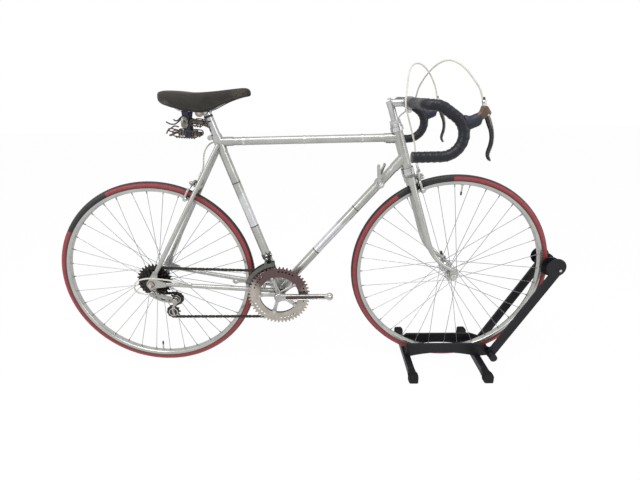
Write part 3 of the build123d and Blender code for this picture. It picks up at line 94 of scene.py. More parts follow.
def soft_lamp(name, place, aim, width, height, watts):
    """A rectangular lamp at a place, its face turned to a point."""
    data = bpy.data.lights.new(name, "AREA")
    data.shape = "RECTANGLE"
    data.size = width
    data.size_y = height
    data.energy = watts
    lamp = bpy.data.objects.new(name, data)
    lamp.location = place
    lamp.rotation_euler = (Vector(aim) - Vector(place)).to_track_quat("-Z", "Y").to_euler()
    bpy.context.scene.collection.objects.link(lamp)


soft_lamp("lamp_over", (-0.3, -1.2, 3.2), (0, 0, 0.4), 3.0, 1.6, 62)
soft_lamp("lamp_left", (-2.6, -2.2, 1.7), (0, 0, 0.5), 1.4, 1.8, 26)
soft_lamp("lamp_right", (2.8, -1.6, 1.4), (0.2, 0, 0.5), 1.2, 1.6, 16)


def node(tree, kind, sockets=(), **settings):
    """Adds a shader node. Settings are its own properties; each socket gets a value or a link."""
    made = tree.nodes.new("ShaderNode" + kind)
    for key, value in settings.items():
        setattr(made, key, value)
    for key, value in dict(sockets).items():
        if isinstance(value, bpy.types.NodeSocket):
            tree.links.new(value, made.inputs[key])
        else:
            made.inputs[key].default_value = value
    return made


def seen_by_eye(tree):
    """1 where a surface is seen straight, in a mirror or through glass, 0 where it only lights."""
    ray = node(tree, "LightPath").outputs
    mirrored = node(tree, "Math", {0: ray["Is Camera Ray"], 1: ray["Is Glossy Ray"]}, operation="MAXIMUM")
    sockets = {0: mirrored.outputs[0], 1: ray["Is Transmission Ray"]}
    return node(tree, "Math", sockets, operation="MAXIMUM").outputs[0]


world_light = 0.62
world = bpy.data.worlds.new("surround")
bpy.context.scene.world = world
world.use_nodes = True
tree = world.node_tree
strength = node(tree, "MapRange", {"Value": seen_by_eye(tree), "To Min": world_light, "To Max": 1.0})
tree.links.new(strength.outputs["Result"], tree.nodes["Background"].inputs["Strength"])
tree.nodes["Background"].inputs["Color"].default_value = (1, 1, 1, 1)

floor_half = 9.0
floor_share_of_white = 0.97
floor_mesh = bpy.data.meshes.new("floor")
floor_mesh.from_pydata(
    [(x * floor_half, y * floor_half, 0) for x, y in ((-1, -1), (1, -1), (1, 1), (-1, 1))],
    [],
    [(0, 1, 2, 3)],
)
floor = bpy.data.objects.new("floor", floor_mesh)
bpy.context.scene.collection.objects.link(floor)
floor_finish = bpy.data.materials.new("floor_paper")
floor_finish.use_nodes = True
tree = floor_finish.node_tree
floor_shader = tree.nodes["Principled BSDF"]
floor_shader.inputs["Base Color"].default_value = (0.9, 0.9, 0.9, 1)
floor_shader.inputs["Roughness"].default_value = 0.9
floor_shader.inputs["Specular IOR Level"].default_value = 0.1
glow = node(tree, "Emission", {"Color": (1, 1, 1, 1), "Strength": 1.0}).outputs[0]
share = node(tree, "Math", {0: seen_by_eye(tree), 1: floor_share_of_white}, operation="MULTIPLY").outputs[0]
paper = node(tree, "MixShader", {0: share, 1: floor_shader.outputs[0], 2: glow}).outputs[0]
tree.links.new(paper, tree.nodes["Material Output"].inputs["Surface"])
floor_mesh.materials.append(floor_finish)

# ---- Tyres -----------------------------------------------------------------------------------
# Narrow road tyres of 23 mm: black ribbed tread rolled over crimson rubber sidewalls. One arc of
# each sidewall is plain black. They are moulded rings, held by their beads inside the rims.


def unit(vectors):
    """Each vector divided by its own length."""
    vectors = np.asarray(vectors, float)
    return vectors / np.linalg.norm(vectors, axis=-1, keepdims=True)


def full_turn(steps):
    """Even angles once round, in radians, the first of them 0."""
    return np.linspace(0, 2 * np.pi, steps, endpoint=False)


forward = unit(front_axle - rear_axle)
left = np.array([0.0, 1.0, 0.0])
up = np.cross(forward, left)
wheelbase = np.linalg.norm(front_axle - rear_axle)


def at(points):
    """Bicycle points in the row's frame: x ahead of the rear axle, y left, z up from the axles' line."""
    x, y, z = np.moveaxis(np.asarray(points, float), -1, 0)[..., None]
    return rear_axle + x * forward + y * left + z * up


def skin(grid, ring=True, loop=False, spans=None):
    """Faces over a grid of points P(i, j): P(i, j), P(i, j+1), P(i+1, j+1), P(i+1, j) make one face.

    A ring joins its last column to its first, a loop joins its last row to its first, and the ends
    of a ring that is no loop are closed by one face each. UV is the mean length along and round the
    grid in metres, or runs evenly to the two spans.
    """
    grid = np.asarray(grid, float)
    rows, columns = grid.shape[:2]
    row_steps = np.linalg.norm(np.roll(grid, -1, 0) - grid, axis=2).mean(axis=1)
    column_steps = np.linalg.norm(np.roll(grid, -1, 1) - grid, axis=2).mean(axis=0)
    if spans:
        row_steps = np.full(rows, spans[0] / rows)
        column_steps = np.full(columns, spans[1] / columns)
    along = np.append(0, np.cumsum(row_steps))
    round_it = np.append(0, np.cumsum(column_steps))
    i, j = np.meshgrid(np.arange(rows - (not loop)), np.arange(columns - (not ring)), indexing="ij")
    corner_rows = np.stack([i, i, i + 1, i + 1], -1).ravel()
    corner_columns = np.stack([j, j + 1, j + 1, j], -1).ravel()
    corners = (corner_rows % rows) * columns + corner_columns % columns
    uv = np.stack([along[corner_rows], round_it[corner_columns]], -1)
    sizes = np.full(i.size, 4)
    if ring and not loop:
        ends = np.concatenate([np.arange(columns), (rows - 1) * columns + np.arange(columns)])
        corners = np.append(corners, ends)
        end_rows = np.repeat([0, rows - 1], columns)
        uv = np.concatenate([uv, np.stack([along[end_rows], round_it[ends % columns]], -1)])
        sizes = np.append(sizes, [columns, columns])
    return grid.reshape(-1, 3), corners, sizes, uv


def piece(name, shapes, material, body, replaced=(), sharp=32):
    """One closed mesh from several skins, riding on a body in place of the nodes that it replaces.

    Doubles are merged, faces point outwards, and edges that turn past `sharp` degrees stay crisp.
    """
    starts = np.cumsum([0] + [len(shape[0]) for shape in shapes])
    points = np.concatenate([shape[0] for shape in shapes])
    corners = np.concatenate([shape[1] + start for shape, start in zip(shapes, starts)])
    sizes = np.concatenate([shape[2] for shape in shapes])
    mesh = bpy.data.meshes.new(name)
    mesh.vertices.add(len(points))
    mesh.vertices.foreach_set("co", points.ravel())
    mesh.loops.add(len(corners))
    mesh.loops.foreach_set("vertex_index", corners)
    mesh.polygons.add(len(sizes))
    mesh.polygons.foreach_set("loop_start", np.append(0, np.cumsum(sizes)[:-1]))
    mesh.update(calc_edges=True)
    uv_layer = mesh.uv_layers.new(name="UVMap")
    uv_layer.data.foreach_set("uv", np.concatenate([shape[3] for shape in shapes]).ravel())
    work = bmesh.new()
    work.from_mesh(mesh)
    bmesh.ops.remove_doubles(work, verts=work.verts, dist=2e-6)
    bmesh.ops.recalc_face_normals(work, faces=work.faces)
    work.to_mesh(mesh)
    work.free()
    mesh.shade_smooth()
    mesh.set_sharp_from_angle(angle=np.radians(sharp))
    mesh.materials.append(material)
    made = bpy.data.objects.new(name, mesh)
    bpy.context.scene.collection.objects.link(made)
    if body:
        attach(made, body)
    if replaced:
        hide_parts(*replaced)
    return made


def mixed(tree, amount, first, second):
    """The first colour where amount is 0, the second where it is 1."""
    return node(tree, "Mix", {0: amount, 6: first, 7: second}, data_type="RGBA").outputs[2]


def step_up(tree, value, low, high):
    """0 below low, 1 above high, and an even rise between them."""
    sockets = {"Value": value, "From Min": low, "From Max": high}
    return node(tree, "MapRange", sockets).outputs["Result"]


def finish(name, colour, second, metallic, roughness, drift, grain, stretch=(1, 1, 1), **shader_values):
    """A material whose colour drifts between two tones and whose gloss drifts between two values.

    The drift is a noise of that many patches a metre, stretched per axis. The grain is (patches a
    metre, depth in metres), a finer noise felt as bump. Returns the material, its tree and shader.
    """
    material = bpy.data.materials.new(name)
    material.use_nodes = True
    tree = material.node_tree
    shader = tree.nodes["Principled BSDF"]
    place = node(tree, "TexCoord").outputs["Object"]
    place = node(tree, "Mapping", {"Vector": place, "Scale": stretch}).outputs[0]
    broad = node(tree, "TexNoise", {"Vector": place, "Scale": drift, "Detail": 5.0}).outputs[0]
    amount = step_up(tree, broad, 0.35, 0.65)
    tree.links.new(mixed(tree, amount, (*colour, 1), (*second, 1)), shader.inputs["Base Color"])
    sockets = {
        "Value": broad, "From Min": 0.3, "From Max": 0.7, "To Min": roughness[0], "To Max": roughness[1],
    }
    tree.links.new(node(tree, "MapRange", sockets).outputs["Result"], shader.inputs["Roughness"])
    fine = node(tree, "TexNoise", {"Vector": place, "Scale": grain[0], "Detail": 3.0}).outputs[0]
    depth = grain[1] * (1 - 0.85 * metallic)
    bump = node(tree, "Bump", {"Height": fine, "Distance": depth, "Strength": 0.6}).outputs[0]
    tree.links.new(bump, shader.inputs["Normal"])
    shader.inputs["Metallic"].default_value = metallic
    for socket, value in shader_values.items():
        shader.inputs[socket.replace("_", " ")].default_value = value
    return material, tree, shader


tyre_radius = (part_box("rear_tyre")[1][0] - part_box("rear_tyre")[0][0]) / 2
tyre_half_width = 0.0115
tyre_half_height = 0.0125
tread_edge = 57
bead_edge = 112
tread_rib_depth = 0.0003
tread_rib_edge = 49
tread_waves = 8
tread_blur, bead_blur, panel_blur = 1, 12, 0.15
tyre_turn_step, tyre_section_step = 1.25, 7.5
tread_black = (0.006, 0.006, 0.006, 1)
crimson = (0.28, 0.021, 0.032, 1)
# The darker brown by the bead is painted shade where the tyre meets the rim.
bead_shade_brown = (0.075, 0.03, 0.02, 1)


def tyre_finish(name, panel_from, panel_to):
    """Crimson rubber, black over the tread and over one arc of the sidewalls, with painted shade in brown
    at the bead.
    """
    worn_crimson = (0.25, 0.019, 0.028)
    material, tree, shader = finish(
        name, crimson[:3], worn_crimson, 0.0, (0.42, 0.62), 70, (1500, 0.00012), Coat_Weight=0.06
    )
    turn, section = node(tree, "SeparateXYZ", {0: node(tree, "UVMap").outputs[0]}).outputs[:2]
    from_crown = node(tree, "Math", {0: section, 1: 180.0}, operation="SUBTRACT").outputs[0]
    from_crown = node(tree, "Math", {0: from_crown}, operation="ABSOLUTE").outputs[0]
    in_tread = step_up(tree, from_crown, tread_edge + tread_blur, tread_edge - tread_blur)
    # Mask of the painted shade by the rim.
    shade_at_bead = step_up(tree, from_crown, bead_edge - bead_blur, bead_edge)
    after = step_up(tree, turn, panel_from, panel_from + panel_blur)
    before = step_up(tree, turn, panel_to + panel_blur, panel_to)
    in_panel = node(tree, "Math", {0: after, 1: before}, operation="MULTIPLY").outputs[0]
    black = node(tree, "Math", {0: in_tread, 1: in_panel}, operation="MAXIMUM").outputs[0]
    plain = shader.inputs["Base Color"].links[0].from_socket
    colour = mixed(tree, shade_at_bead, plain, bead_shade_brown)
    colour = mixed(tree, black, colour, tread_black)
    tree.links.new(colour, shader.inputs["Base Color"])
    return material


def tyre(name, axle_x, panel_from, panel_to, body):
    """A ring swept by an oval section: radius = R - b + (b + ribs) cos s and y = (a + ribs) sin s.

    The angle s is 0 at the crown, and the ribs are depth (cos 8 s - 1) within the tread.
    """
    turn = np.radians(np.arange(0, 360, tyre_turn_step))[:, None]
    section = np.radians(np.arange(-180, 180, tyre_section_step))[None, :]
    in_ribs = np.abs(section) < np.radians(tread_rib_edge)
    ribs = tread_rib_depth * (np.cos(tread_waves * section) - 1) * in_ribs
    reach = tyre_radius - tyre_half_height + (tyre_half_height + ribs) * np.cos(section)
    x = axle_x + reach * np.cos(turn)
    z = reach * np.sin(turn)
    y = (tyre_half_width + ribs) * np.sin(section) + 0 * turn
    shape = skin(at(np.stack([x, y, z], -1)), loop=True, spans=(360, 360))
    rubber = tyre_finish(name + "_rubber", panel_from, panel_to)
    piece(name + "_rubber", [shape], rubber, body, (name,))


tyre("rear_tyre", 0.0, 114, 148, "rear_wheel")
tyre("front_tyre", wheelbase, 91, 124.4, "front_wheel")

# ---- Rims ------------------------------------------------------------------------------------
# Polished alloy box rims for 36 spokes: machined brake tracks, hooked edges, an eyelet at each
# nipple, and one valve with a black dust cap. The hoop is rolled, pinned and turned true.


def turned(profile, centre, about, steps=32, loop=False):
    """A profile of (radius, height) turned about a: P = C + height a + radius (u cos t + w sin t)."""
    profile = np.asarray(profile, float)
    about = unit(about)
    start = left if abs(about[1]) < 0.9 else forward
    u = unit(start - about * (start @ about))
    w = np.cross(about, u)
    turn = full_turn(steps)[None, :, None]
    radius, height = profile[:, 0, None, None], profile[:, 1, None, None]
    ring = np.cos(turn) * u + np.sin(turn) * w
    return skin(np.asarray(centre) + height * about + radius * ring, loop=loop)


def bump_over(tree, shader, height, depth):
    """Lays a second relief over the shader's first."""
    first = shader.inputs["Normal"].links[0].from_socket
    sockets = {"Height": height, "Distance": depth, "Normal": first}
    tree.links.new(node(tree, "Bump", sockets).outputs[0], shader.inputs["Normal"])


rim_inside = 0.3012
lathe_lines_a_metre = 6000.0
lathe_depth = 0.00003
spoke_foot_side = 0.002
rim_steps = 240
rim_half_section = [
    (0.3112, 0.0083), (0.3128, 0.0085), (0.3131, 0.0092), (0.3127, 0.0099), (0.3060, 0.0100),
    (0.3040, 0.0096), (0.3024, 0.0080), (0.3014, 0.0050), (0.3012, 0.0020),
]
rim_bed = [(0.3090, 0.0083), (0.3074, 0.0050), (0.3064, 0.0)]
valve_cap = [
    (0.0, 0.0), (0.0024, 0.0), (0.0024, 0.0010), (0.0030, 0.0012), (0.0031, 0.0105), (0.0024, 0.0125),
]
valve_stem = [(0.0026, 0.0125), (0.0026, 0.0330), (0.0055, 0.0334), (0.0055, 0.0365), (0.0, 0.0368)]
valve_length = 0.038
valve_in_rim = 0.002
eyelet = [(0.0020, 0.0012), (0.0020, -0.0008), (0.0027, -0.0012), (0.0034, -0.0006), (0.0036, 0.0012)]

rim_alloy, tree, shader = finish(
    "rim_alloy", (0.47, 0.465, 0.445), (0.40, 0.40, 0.39), 0.8, (0.2, 0.34), 26, (900, 0.00004),
    Specular_Tint=(0.6, 0.6, 0.6, 1),
)
across = node(tree, "SeparateXYZ", {0: node(tree, "UVMap").outputs[0]}).outputs[0]
lathe_lines = node(
    tree, "TexNoise", {"W": across, "Scale": lathe_lines_a_metre}, noise_dimensions="1D"
).outputs[0]
bump_over(tree, shader, lathe_lines, lathe_depth)

valve_metal = finish(
    "valve_metal", (0.55, 0.55, 0.53), (0.4, 0.4, 0.38), 1.0, (0.25, 0.4), 200, (3000, 0.00005)
)[0]
cap_plastic = finish(
    "cap_plastic", (0.012, 0.012, 0.013), (0.02, 0.02, 0.02), 0.0, (0.35, 0.5), 200, (4000, 0.00005)
)[0]


def radial(axle_x, degrees, reach, side=0.0):
    """A point of a wheel at an angle up from straight ahead, and a distance out from its axle."""
    turn = np.radians(degrees)
    return at([axle_x + reach * np.cos(turn), side, reach * np.sin(turn)])


def outward(degrees):
    """The direction out from an axle at an angle up from straight ahead."""
    return radial(0.0, degrees, 1) - radial(0.0, degrees, 0)


def rim(name, axle_x, valve_turn, body):
    """A box section turned about the axle, with 36 eyelets and a valve."""
    mirrored = [(r, -y) for r, y in reversed(rim_half_section)]
    bed = [(r, -y) for r, y in rim_bed] + [(r, y) for r, y in reversed(rim_bed[:-1])]
    hoop = turned(rim_half_section + mirrored + bed, at([axle_x, 0, 0]), left, rim_steps, loop=True)
    eyelets = []
    for degrees in range(0, 360, 10):
        side = spoke_foot_side if degrees % 20 == 0 else -spoke_foot_side
        foot = radial(axle_x, degrees, rim_inside, side)
        eyelets.append(turned(eyelet, foot, outward(degrees), 10, loop=True))
    piece(name + "_hoop", [hoop] + eyelets, rim_alloy, body, (name,))
    foot = radial(axle_x, valve_turn, rim_inside + valve_in_rim - valve_length)
    cap, stem = (turned(profile, foot, outward(valve_turn), 14) for profile in (valve_cap, valve_stem))
    piece(name.replace("rim", "valve_cap"), [cap], cap_plastic, body)
    piece(name.replace("rim", "valve"), [stem], valve_metal, body)


rim("rear_rim", 0.0, 265, "rear_wheel")
rim("front_rim", wheelbase, 85, "front_wheel")

# ---- Spokes and hubs -------------------------------------------------------------------------
# Plain-gauge stainless spokes, 36 a wheel and laced three across: headed at alternate sides of the
# hub flanges and drawn up by nipples. The hubs are turned and polished alloy on hollow axles.

spoke_radius = 0.001
flange_circle = 0.020
spokes_a_ring = 9
spoke_spacing = 360 / spokes_a_ring
spoke_swing = 60
head_stand = 0.0026
elbow_stand = 0.0024
spoke_head = [(0.0, 0.0), (0.0016, 0.0001), (0.0019, 0.0007), (0.0010, 0.0013)]
nipple = [(0.0, 0.0), (0.0012, 0.0), (0.0017, 0.0006), (0.0018, 0.0085), (0.0022, 0.0095), (0.0, 0.0096)]
nipple_from_foot = 0.0128
spoke_steel = finish(
    "spoke_steel", (0.40, 0.41, 0.42), (0.30, 0.31, 0.33), 1.0, (0.28, 0.45), 90, (3000, 0.00003)
)[0]
nipple_steel = finish(
    "nipple_steel", (0.26, 0.25, 0.23), (0.17, 0.16, 0.15), 1.0, (0.35, 0.5), 300, (3000, 0.00003)
)[0]
hub_alloy = finish(
    "hub_alloy", (0.58, 0.58, 0.57), (0.42, 0.42, 0.41), 0.95, (0.18, 0.38), 60, (1200, 0.00005)
)[0]


def pipe(path, radius, steps=10, side=(0, 1, 0), loop=False):
    """Round rings along a path: P = C + r (u cos t + w sin t), u square to the run and nearest `side`."""
    path = np.asarray(path, float)
    run = np.roll(path, -1, 0) - np.roll(path, 1, 0) if loop else np.gradient(path, axis=0)
    run = unit(run)
    side = np.broadcast_to(side, path.shape)
    u = unit(side - run * np.sum(run * side, axis=1, keepdims=True))
    w = np.cross(run, u)
    turn = full_turn(steps)[None, :, None]
    ring = np.cos(turn) * u[:, None] + np.sin(turn) * w[:, None]
    return skin(path[:, None] + radius * ring, loop=loop)


def spokes(name, axle_x, left_flange, right_flange, body):
    """36 wires: a head beside the flange, an elbow through its hole, and a straight run to the nipple."""
    wires, nipples = [], []
    for sign, flange in ((1, left_flange), (-1, right_flange)):
        for lean in (1, -1):
            hub_turn = (20 if lean > 0 else 0) + (10 if sign < 0 else 0)
            outer = left * sign * lean
            for copy in range(spokes_a_ring):
                turn = -(hub_turn + spoke_spacing * copy)
                inner = radial(axle_x, turn, flange_circle, sign * (flange - lean * head_stand))
                elbow = radial(axle_x, turn, flange_circle + 0.0002, sign * (flange + lean * elbow_stand))
                foot = radial(axle_x, turn - spoke_swing * lean, rim_inside + 0.004, sign * spoke_foot_side)
                line = unit(foot - elbow)
                path = [inner, elbow - outer * 0.0008, elbow + line * 0.0008, elbow + line * 0.003, foot]
                wires.append(pipe(path, spoke_radius, 7, side=np.cross(line, left)))
                wires.append(turned(spoke_head, inner, outer, 8))
                nipples.append(turned(nipple, foot - line * nipple_from_foot, line, 8))
    piece(name + "_wires", wires, spoke_steel, body, (name,))
    piece(name.replace("spokes", "nipples"), nipples, nipple_steel, body)


rear_flanges = (0.034, 0.022)
front_flanges = (0.035, 0.035)
spokes("rear_spokes", 0.0, *rear_flanges, "rear_wheel")
spokes("front_spokes", wheelbase, *front_flanges, "front_wheel")


def hub_side(flange, end):
    """Half a hub's profile, from the waist of its barrel out to the locknut on the axle."""
    return [
        (0.0088, 0.0), (0.0086, flange * 0.45), (0.0094, flange - 0.006), (0.0125, flange - 0.0022),
        (0.0222, flange - 0.0016), (0.0228, flange - 0.0008), (0.0228, flange + 0.0008),
        (0.0222, flange + 0.0016), (0.0150, flange + 0.0018), (0.0140, flange + 0.0045),
        (0.0125, flange + 0.0070), (0.0112, flange + 0.0074), (0.0108, flange + 0.0066),
        (0.0084, flange + 0.0066), (0.0084, end - 0.0055), (0.0070, end - 0.0052), (0.0070, end - 0.0042),
        (0.0085, end - 0.0040), (0.0085, end - 0.0004), (0.0078, end),
    ]


def hub(name, axle_x, flanges, half_length, body):
    """Both halves of the profile, turned about the axle."""
    right = [(r, -h) for r, h in reversed(hub_side(flanges[1], half_length))]
    profile = right[:-1] + hub_side(flanges[0], half_length)
    shell = turned(profile, at([axle_x, 0, 0]), left, 48)
    piece(name + "_shell", [shell], hub_alloy, body, (name,))


hub("rear_hub", 0.0, rear_flanges, 0.0627, "rear_wheel")
hub("front_hub", wheelbase, front_flanges, 0.0497, "front_wheel")

# ---- Quick releases --------------------------------------------------------------------------
# A hollow-axle skewer clamps each wheel: an alloy cap nut on the right, and on the left a cam
# housing with a cupped black-sleeved lever.


def on_head(height, ahead=0.0, side=0.0):
    """A point of the steering axis: a height above the crown race seat, and a distance ahead and left."""
    x = crown_seat[0] + head_up[0] * height + head_up[1] * ahead
    z = crown_seat[1] + head_up[1] * height - head_up[0] * ahead
    return at(np.stack(np.broadcast_arrays(x, side, z), -1))


crown_seat = np.array([0.84916, 0.3342])
head_up = np.array([-0.2756, 0.9613])
qr_nut = [
    (0.0, 0.0), (0.0088, 0.0), (0.0094, 0.0012), (0.0090, 0.0030), (0.0074, 0.0042),
    (0.0070, 0.0100), (0.0058, 0.0124), (0.0032, 0.0130), (0.0, 0.0131),
]
qr_nut_stand = 0.005
qr_rod_radius, qr_rod_stand = 0.0044, 0.004
qr_lever_length, qr_lever_stand = 0.046, 0.0095
side_plane = ((1, 0, 0), (0, 0, 1), (0, 1, 0))
lever_black = finish(
    "lever_black", (0.015, 0.015, 0.017), (0.03, 0.03, 0.03), 0.0, (0.3, 0.45), 120, (2500, 0.00006)
)[0]


def axis(x, y, z):
    """A direction given in the bicycle's own axes, turned into the row frame."""
    return at([x, y, z]) - at([0, 0, 0])


def softened(outline, times=2):
    """A closed outline with its corners cut: each edge keeps its middle half, and that twice or more."""
    outline = np.asarray(outline, float)
    for _ in range(times):
        after = np.roll(outline, -1, 0)
        outline = np.stack([0.75 * outline + 0.25 * after, 0.25 * outline + 0.75 * after], 1).reshape(-1, 2)
    return outline


def inward(outline):
    """The unit direction inside at each point of a closed outline, square to its neighbours' line."""
    before, after = np.roll(outline, 1, 0), np.roll(outline, -1, 0)
    run = after - before
    normal = np.stack([-run[:, 1], run[:, 0]], 1) / (np.linalg.norm(run, axis=1, keepdims=True) + 1e-12)
    twice_area = np.sum(outline[:, 0] * after[:, 1] - outline[:, 1] * after[:, 0])
    return normal * np.sign(twice_area)


def slab(outline, middle_at, thickness, edge, rows=4, plane=side_plane):
    """A plate with rounded rims, its outline in a plane of two directions, and out along the third.

    In the rim, as t rises from 0 to 1, the outline steps in by edge (1 - sqrt(1 - t t)), nearly.
    """
    outline = np.asarray(outline, float)
    x_axis, y_axis, out = (axis(*direction) for direction in plane)
    rise = np.linspace(0, 1, rows)
    inset = edge * (1 - np.sqrt(1 - rise**2 * 0.98))
    height = thickness / 2 - edge + edge * rise
    inset = np.concatenate([inset[::-1], inset])[:, None, None]
    height = np.concatenate([-height[::-1], height])[:, None, None]
    flat = outline + inset * inward(outline)
    origin = np.asarray(middle_at)
    return skin(origin + flat[..., :1] * x_axis + flat[..., 1:] * y_axis + height * out)


def quick_release(name, axle_x, half, swing, body):
    """The nut, the cam housing and the lever, whose length swings up from straight ahead."""
    centre = at([axle_x, 0, 0])
    face, rod_end = half + qr_nut_stand, half + qr_rod_stand
    rod = [(0.0, -rod_end), (qr_rod_radius, -rod_end), (qr_rod_radius, rod_end), (0.0, rod_end)]
    metal = [turned(qr_nut, centre + left * sign * face, left * sign, 20) for sign in (-1, 1)]
    metal.append(turned(rod, centre, left, 16))
    piece(name + "_skewer", metal, hub_alloy, body, (name,))
    turn = np.radians(swing)
    reach = np.linspace(0, 1, 13)
    half_width = 0.0034 + 0.0028 * np.sin(np.pi * np.clip(reach * 1.1 - 0.1, 0, 1)) ** 2
    edge = np.stack([reach * qr_lever_length - 0.002, half_width], 1)
    outline = np.concatenate([edge, (edge * (1, -1))[::-1]])
    spin = np.array([[np.cos(turn), np.sin(turn)], [-np.sin(turn), np.cos(turn)]])
    lever = slab(softened(outline) @ spin, centre + left * (face + qr_lever_stand), 0.0062, 0.0024)
    piece(name + "_lever", [lever], lever_black, body)


quick_release("front_quick_release", wheelbase, 0.050, 100, "steering")
quick_release("rear_quick_release", 0.0, 0.063, 60, "frame")
rusty_steel = finish(
    "rusty_steel", (0.30, 0.155, 0.085), (0.17, 0.085, 0.050), 0.6, (0.35, 0.55), 300, (1500, 0.00008)
)[0]
axle_washer = [
    (0.0060, 0.0), (0.0112, 0.0), (0.0116, 0.0006), (0.0112, 0.0020), (0.0072, 0.0028), (0.0060, 0.0026),
]
washer_at = at([0.0, -0.0681, 0.0])
piece(
    "rear_axle_washer", [turned(axle_washer, washer_at, -left, 32, loop=True)], rusty_steel, "frame",
)

# ---- Frame -----------------------------------------------------------------------------------
# Brazed steel tubes in pointed lugs, sprayed metallic silver with a little dulling and grime. Two
# thin black lines bound a plain transfer panel on the down tube and one on the seat tube.

frame_silver = finish(
    "frame_silver", (0.43, 0.43, 0.415), (0.365, 0.362, 0.345), 0.62, (0.2, 0.3), 22, (900, 0.000012),
    Coat_Weight=0.25, Coat_Roughness=0.12, Specular_Tint=(0.3, 0.3, 0.29, 1),
)[0]
chrome = finish(
    "chrome", (0.60, 0.60, 0.60), (0.46, 0.46, 0.46), 1.0, (0.08, 0.2), 60, (2000, 0.00002),
    Specular_Tint=(0.45, 0.45, 0.45, 1),
)[0]
line_black = finish(
    "line_black", (0.012, 0.012, 0.016), (0.03, 0.03, 0.035), 0.0, (0.3, 0.45), 150, (3000, 0.00002)
)[0]
panel_film = finish(
    "panel_film", (0.55, 0.56, 0.57), (0.49, 0.49, 0.50), 0.45, (0.25, 0.38), 60, (3000, 0.00002),
    Coat_Weight=0.3,
)[0]


def dress(material, slot, *names):
    """Gives built nodes, whose shapes are right, a finish in place of their plain one."""
    for name in names:
        nodes[name].data.materials.clear()
        nodes[name].data.materials.append(material)


dress(
    frame_silver, "frame_silver", "head_tube", "bottom_bracket_shell", "seat_tube", "down_tube", "top_tube",
    "seat_lug", "chainstays", "seatstays", "rear_dropouts", "fork_crown", "fork_blades",
)

bottom_bracket = np.array([0.418, 0.0, -0.058])
seat_cluster = np.array([0.2511, 0.0, 0.4556])
head_join_top = np.array([0.8144, 0.0, 0.4553])
head_join_low = np.array([0.8321, 0.0, 0.3938])
lug_lip = 0.004
band_sink = 0.0004
main_tube_radius = 0.0143


def sleeve(start, toward, first, length, inner, outer, points=0.0, tips=2):
    """A thin shell on a frame tube, its end run out in points: length + points |cos(tips t / 2)|^6."""
    start = at(start)
    run = unit(at(toward) - start)
    turn = full_turn(48)
    tip = length + points * np.abs(np.cos(tips * turn / 2)) ** 6
    around = np.cos(turn)[:, None] * left + np.sin(turn)[:, None] * np.cross(run, left)
    worn_edge = outer - (outer - inner) * 0.45
    section = ((inner, 0), (outer, 0), (outer, 0.5), (worn_edge, 1), (inner, 1))
    rows = [start + (first + share * tip)[:, None] * run + radius * around for radius, share in section]
    return skin(np.array(rows), loop=True)


def flat_band(start, toward, middle_along, radius, half_width, thickness=0.00025):
    """An even band round a tube, centred on a point of it."""
    away = np.linalg.norm(at(middle_along) - at(start))
    return sleeve(start, toward, away - half_width, 2 * half_width, radius - band_sink, radius + thickness)


thin_lug, thick_lug = (0.0121, 0.0143), (0.0137, 0.0159)
main_lugs = [
    sleeve(start, toward, first, lug_lip, *radii, points)
    for start, toward, first, radii, points in (
        (head_join_top, seat_cluster, 0.044, thin_lug, 0.020),
        (head_join_low, bottom_bracket, 0.044, thick_lug, 0.022),
        (bottom_bracket, head_join_low, 0.048, thick_lug, 0.020),
        (bottom_bracket, seat_cluster, 0.048, thick_lug, 0.020),
        (seat_cluster, head_join_top, 0.042, thin_lug, 0.020),
        (seat_cluster, bottom_bracket, 0.028, thick_lug, 0.020),
    )
]
piece("frame_lug_points", main_lugs, frame_silver, "frame")

line_half_width = 0.0016
down_tube_lines = [(0.682, 0, 0.226), (0.550, 0, 0.080)]
seat_tube_lines = [(0.290, 0, 0.322), (0.339, 0, 0.174)]
panel_film_thickness = 0.0001
lines, panels = [], []
for toward, line_places, panel_place, panel_half in (
    (head_join_low, down_tube_lines, (0.616, 0, 0.153), 0.0965),
    (seat_cluster, seat_tube_lines, (0.3145, 0, 0.248), 0.0763),
):
    for place in line_places:
        lines.append(flat_band(bottom_bracket, toward, place, main_tube_radius, line_half_width))
    panel = (panel_place, main_tube_radius, panel_half, panel_film_thickness)
    panels.append(flat_band(bottom_bracket, toward, *panel))
piece("transfer_lines", lines, line_black, "frame")
piece("transfer_panels", panels, panel_film, "frame")

# ---- Headset, stem and handlebar -------------------------------------------------------------
# Chromed headset cups and a hexagonal locknut hold the steerer. A cast and polished alloy stem, its
# neck meeting the extension at a sharp corner, clamps the bright bare middle of the drop bar.

dress(chrome, "chrome_steel", "headset_cups", "headset_locknut")
stem_alloy = finish(
    "stem_alloy", (0.55, 0.55, 0.55), (0.44, 0.44, 0.45), 0.92, (0.2, 0.34), 45, (1800, 0.00003),
    Specular_Tint=(0.4, 0.4, 0.4, 1),
)[0]
bar_alloy = finish(
    "bar_alloy", (0.64, 0.64, 0.62), (0.50, 0.50, 0.50), 1.0, (0.1, 0.25), 70, (2200, 0.00003),
    Specular_Tint=(0.5, 0.5, 0.5, 1),
)[0]
dress(stem_alloy, "polished_alloy", "stem")
dress(bar_alloy, "polished_alloy", "handlebar")

stem_corner = np.array([0.7844, 0.5601])
bar_middle = np.array([0.8424, 0.5601])
steerer_way = axis(head_up[0], 0, head_up[1])
clamp_bolt_drop = 0.0245
clamp_half_width = 0.011


def beside(place, side):
    """The point that far left of a place (x, z) in the middle plane."""
    return at([place[0], side, place[1]])


def bolt(foot, direction, radius, height, sides=6):
    """A bolt's head: a chamfered many-sided prism on a thin washer."""
    head = [
        (0.0, 0.0), (radius * 1.25, 0.0), (radius * 1.25, 0.0008), (radius, 0.0009), (radius, height * 0.8),
    ]
    washer = turned(head[:3] + [(0.0, 0.0008)], foot, direction, 20)
    top = turned(
        [(0.0, 0.0008)] + head[3:] + [(radius * 0.8, height), (0.0, height)], foot, direction, sides
    )
    return [washer, top]


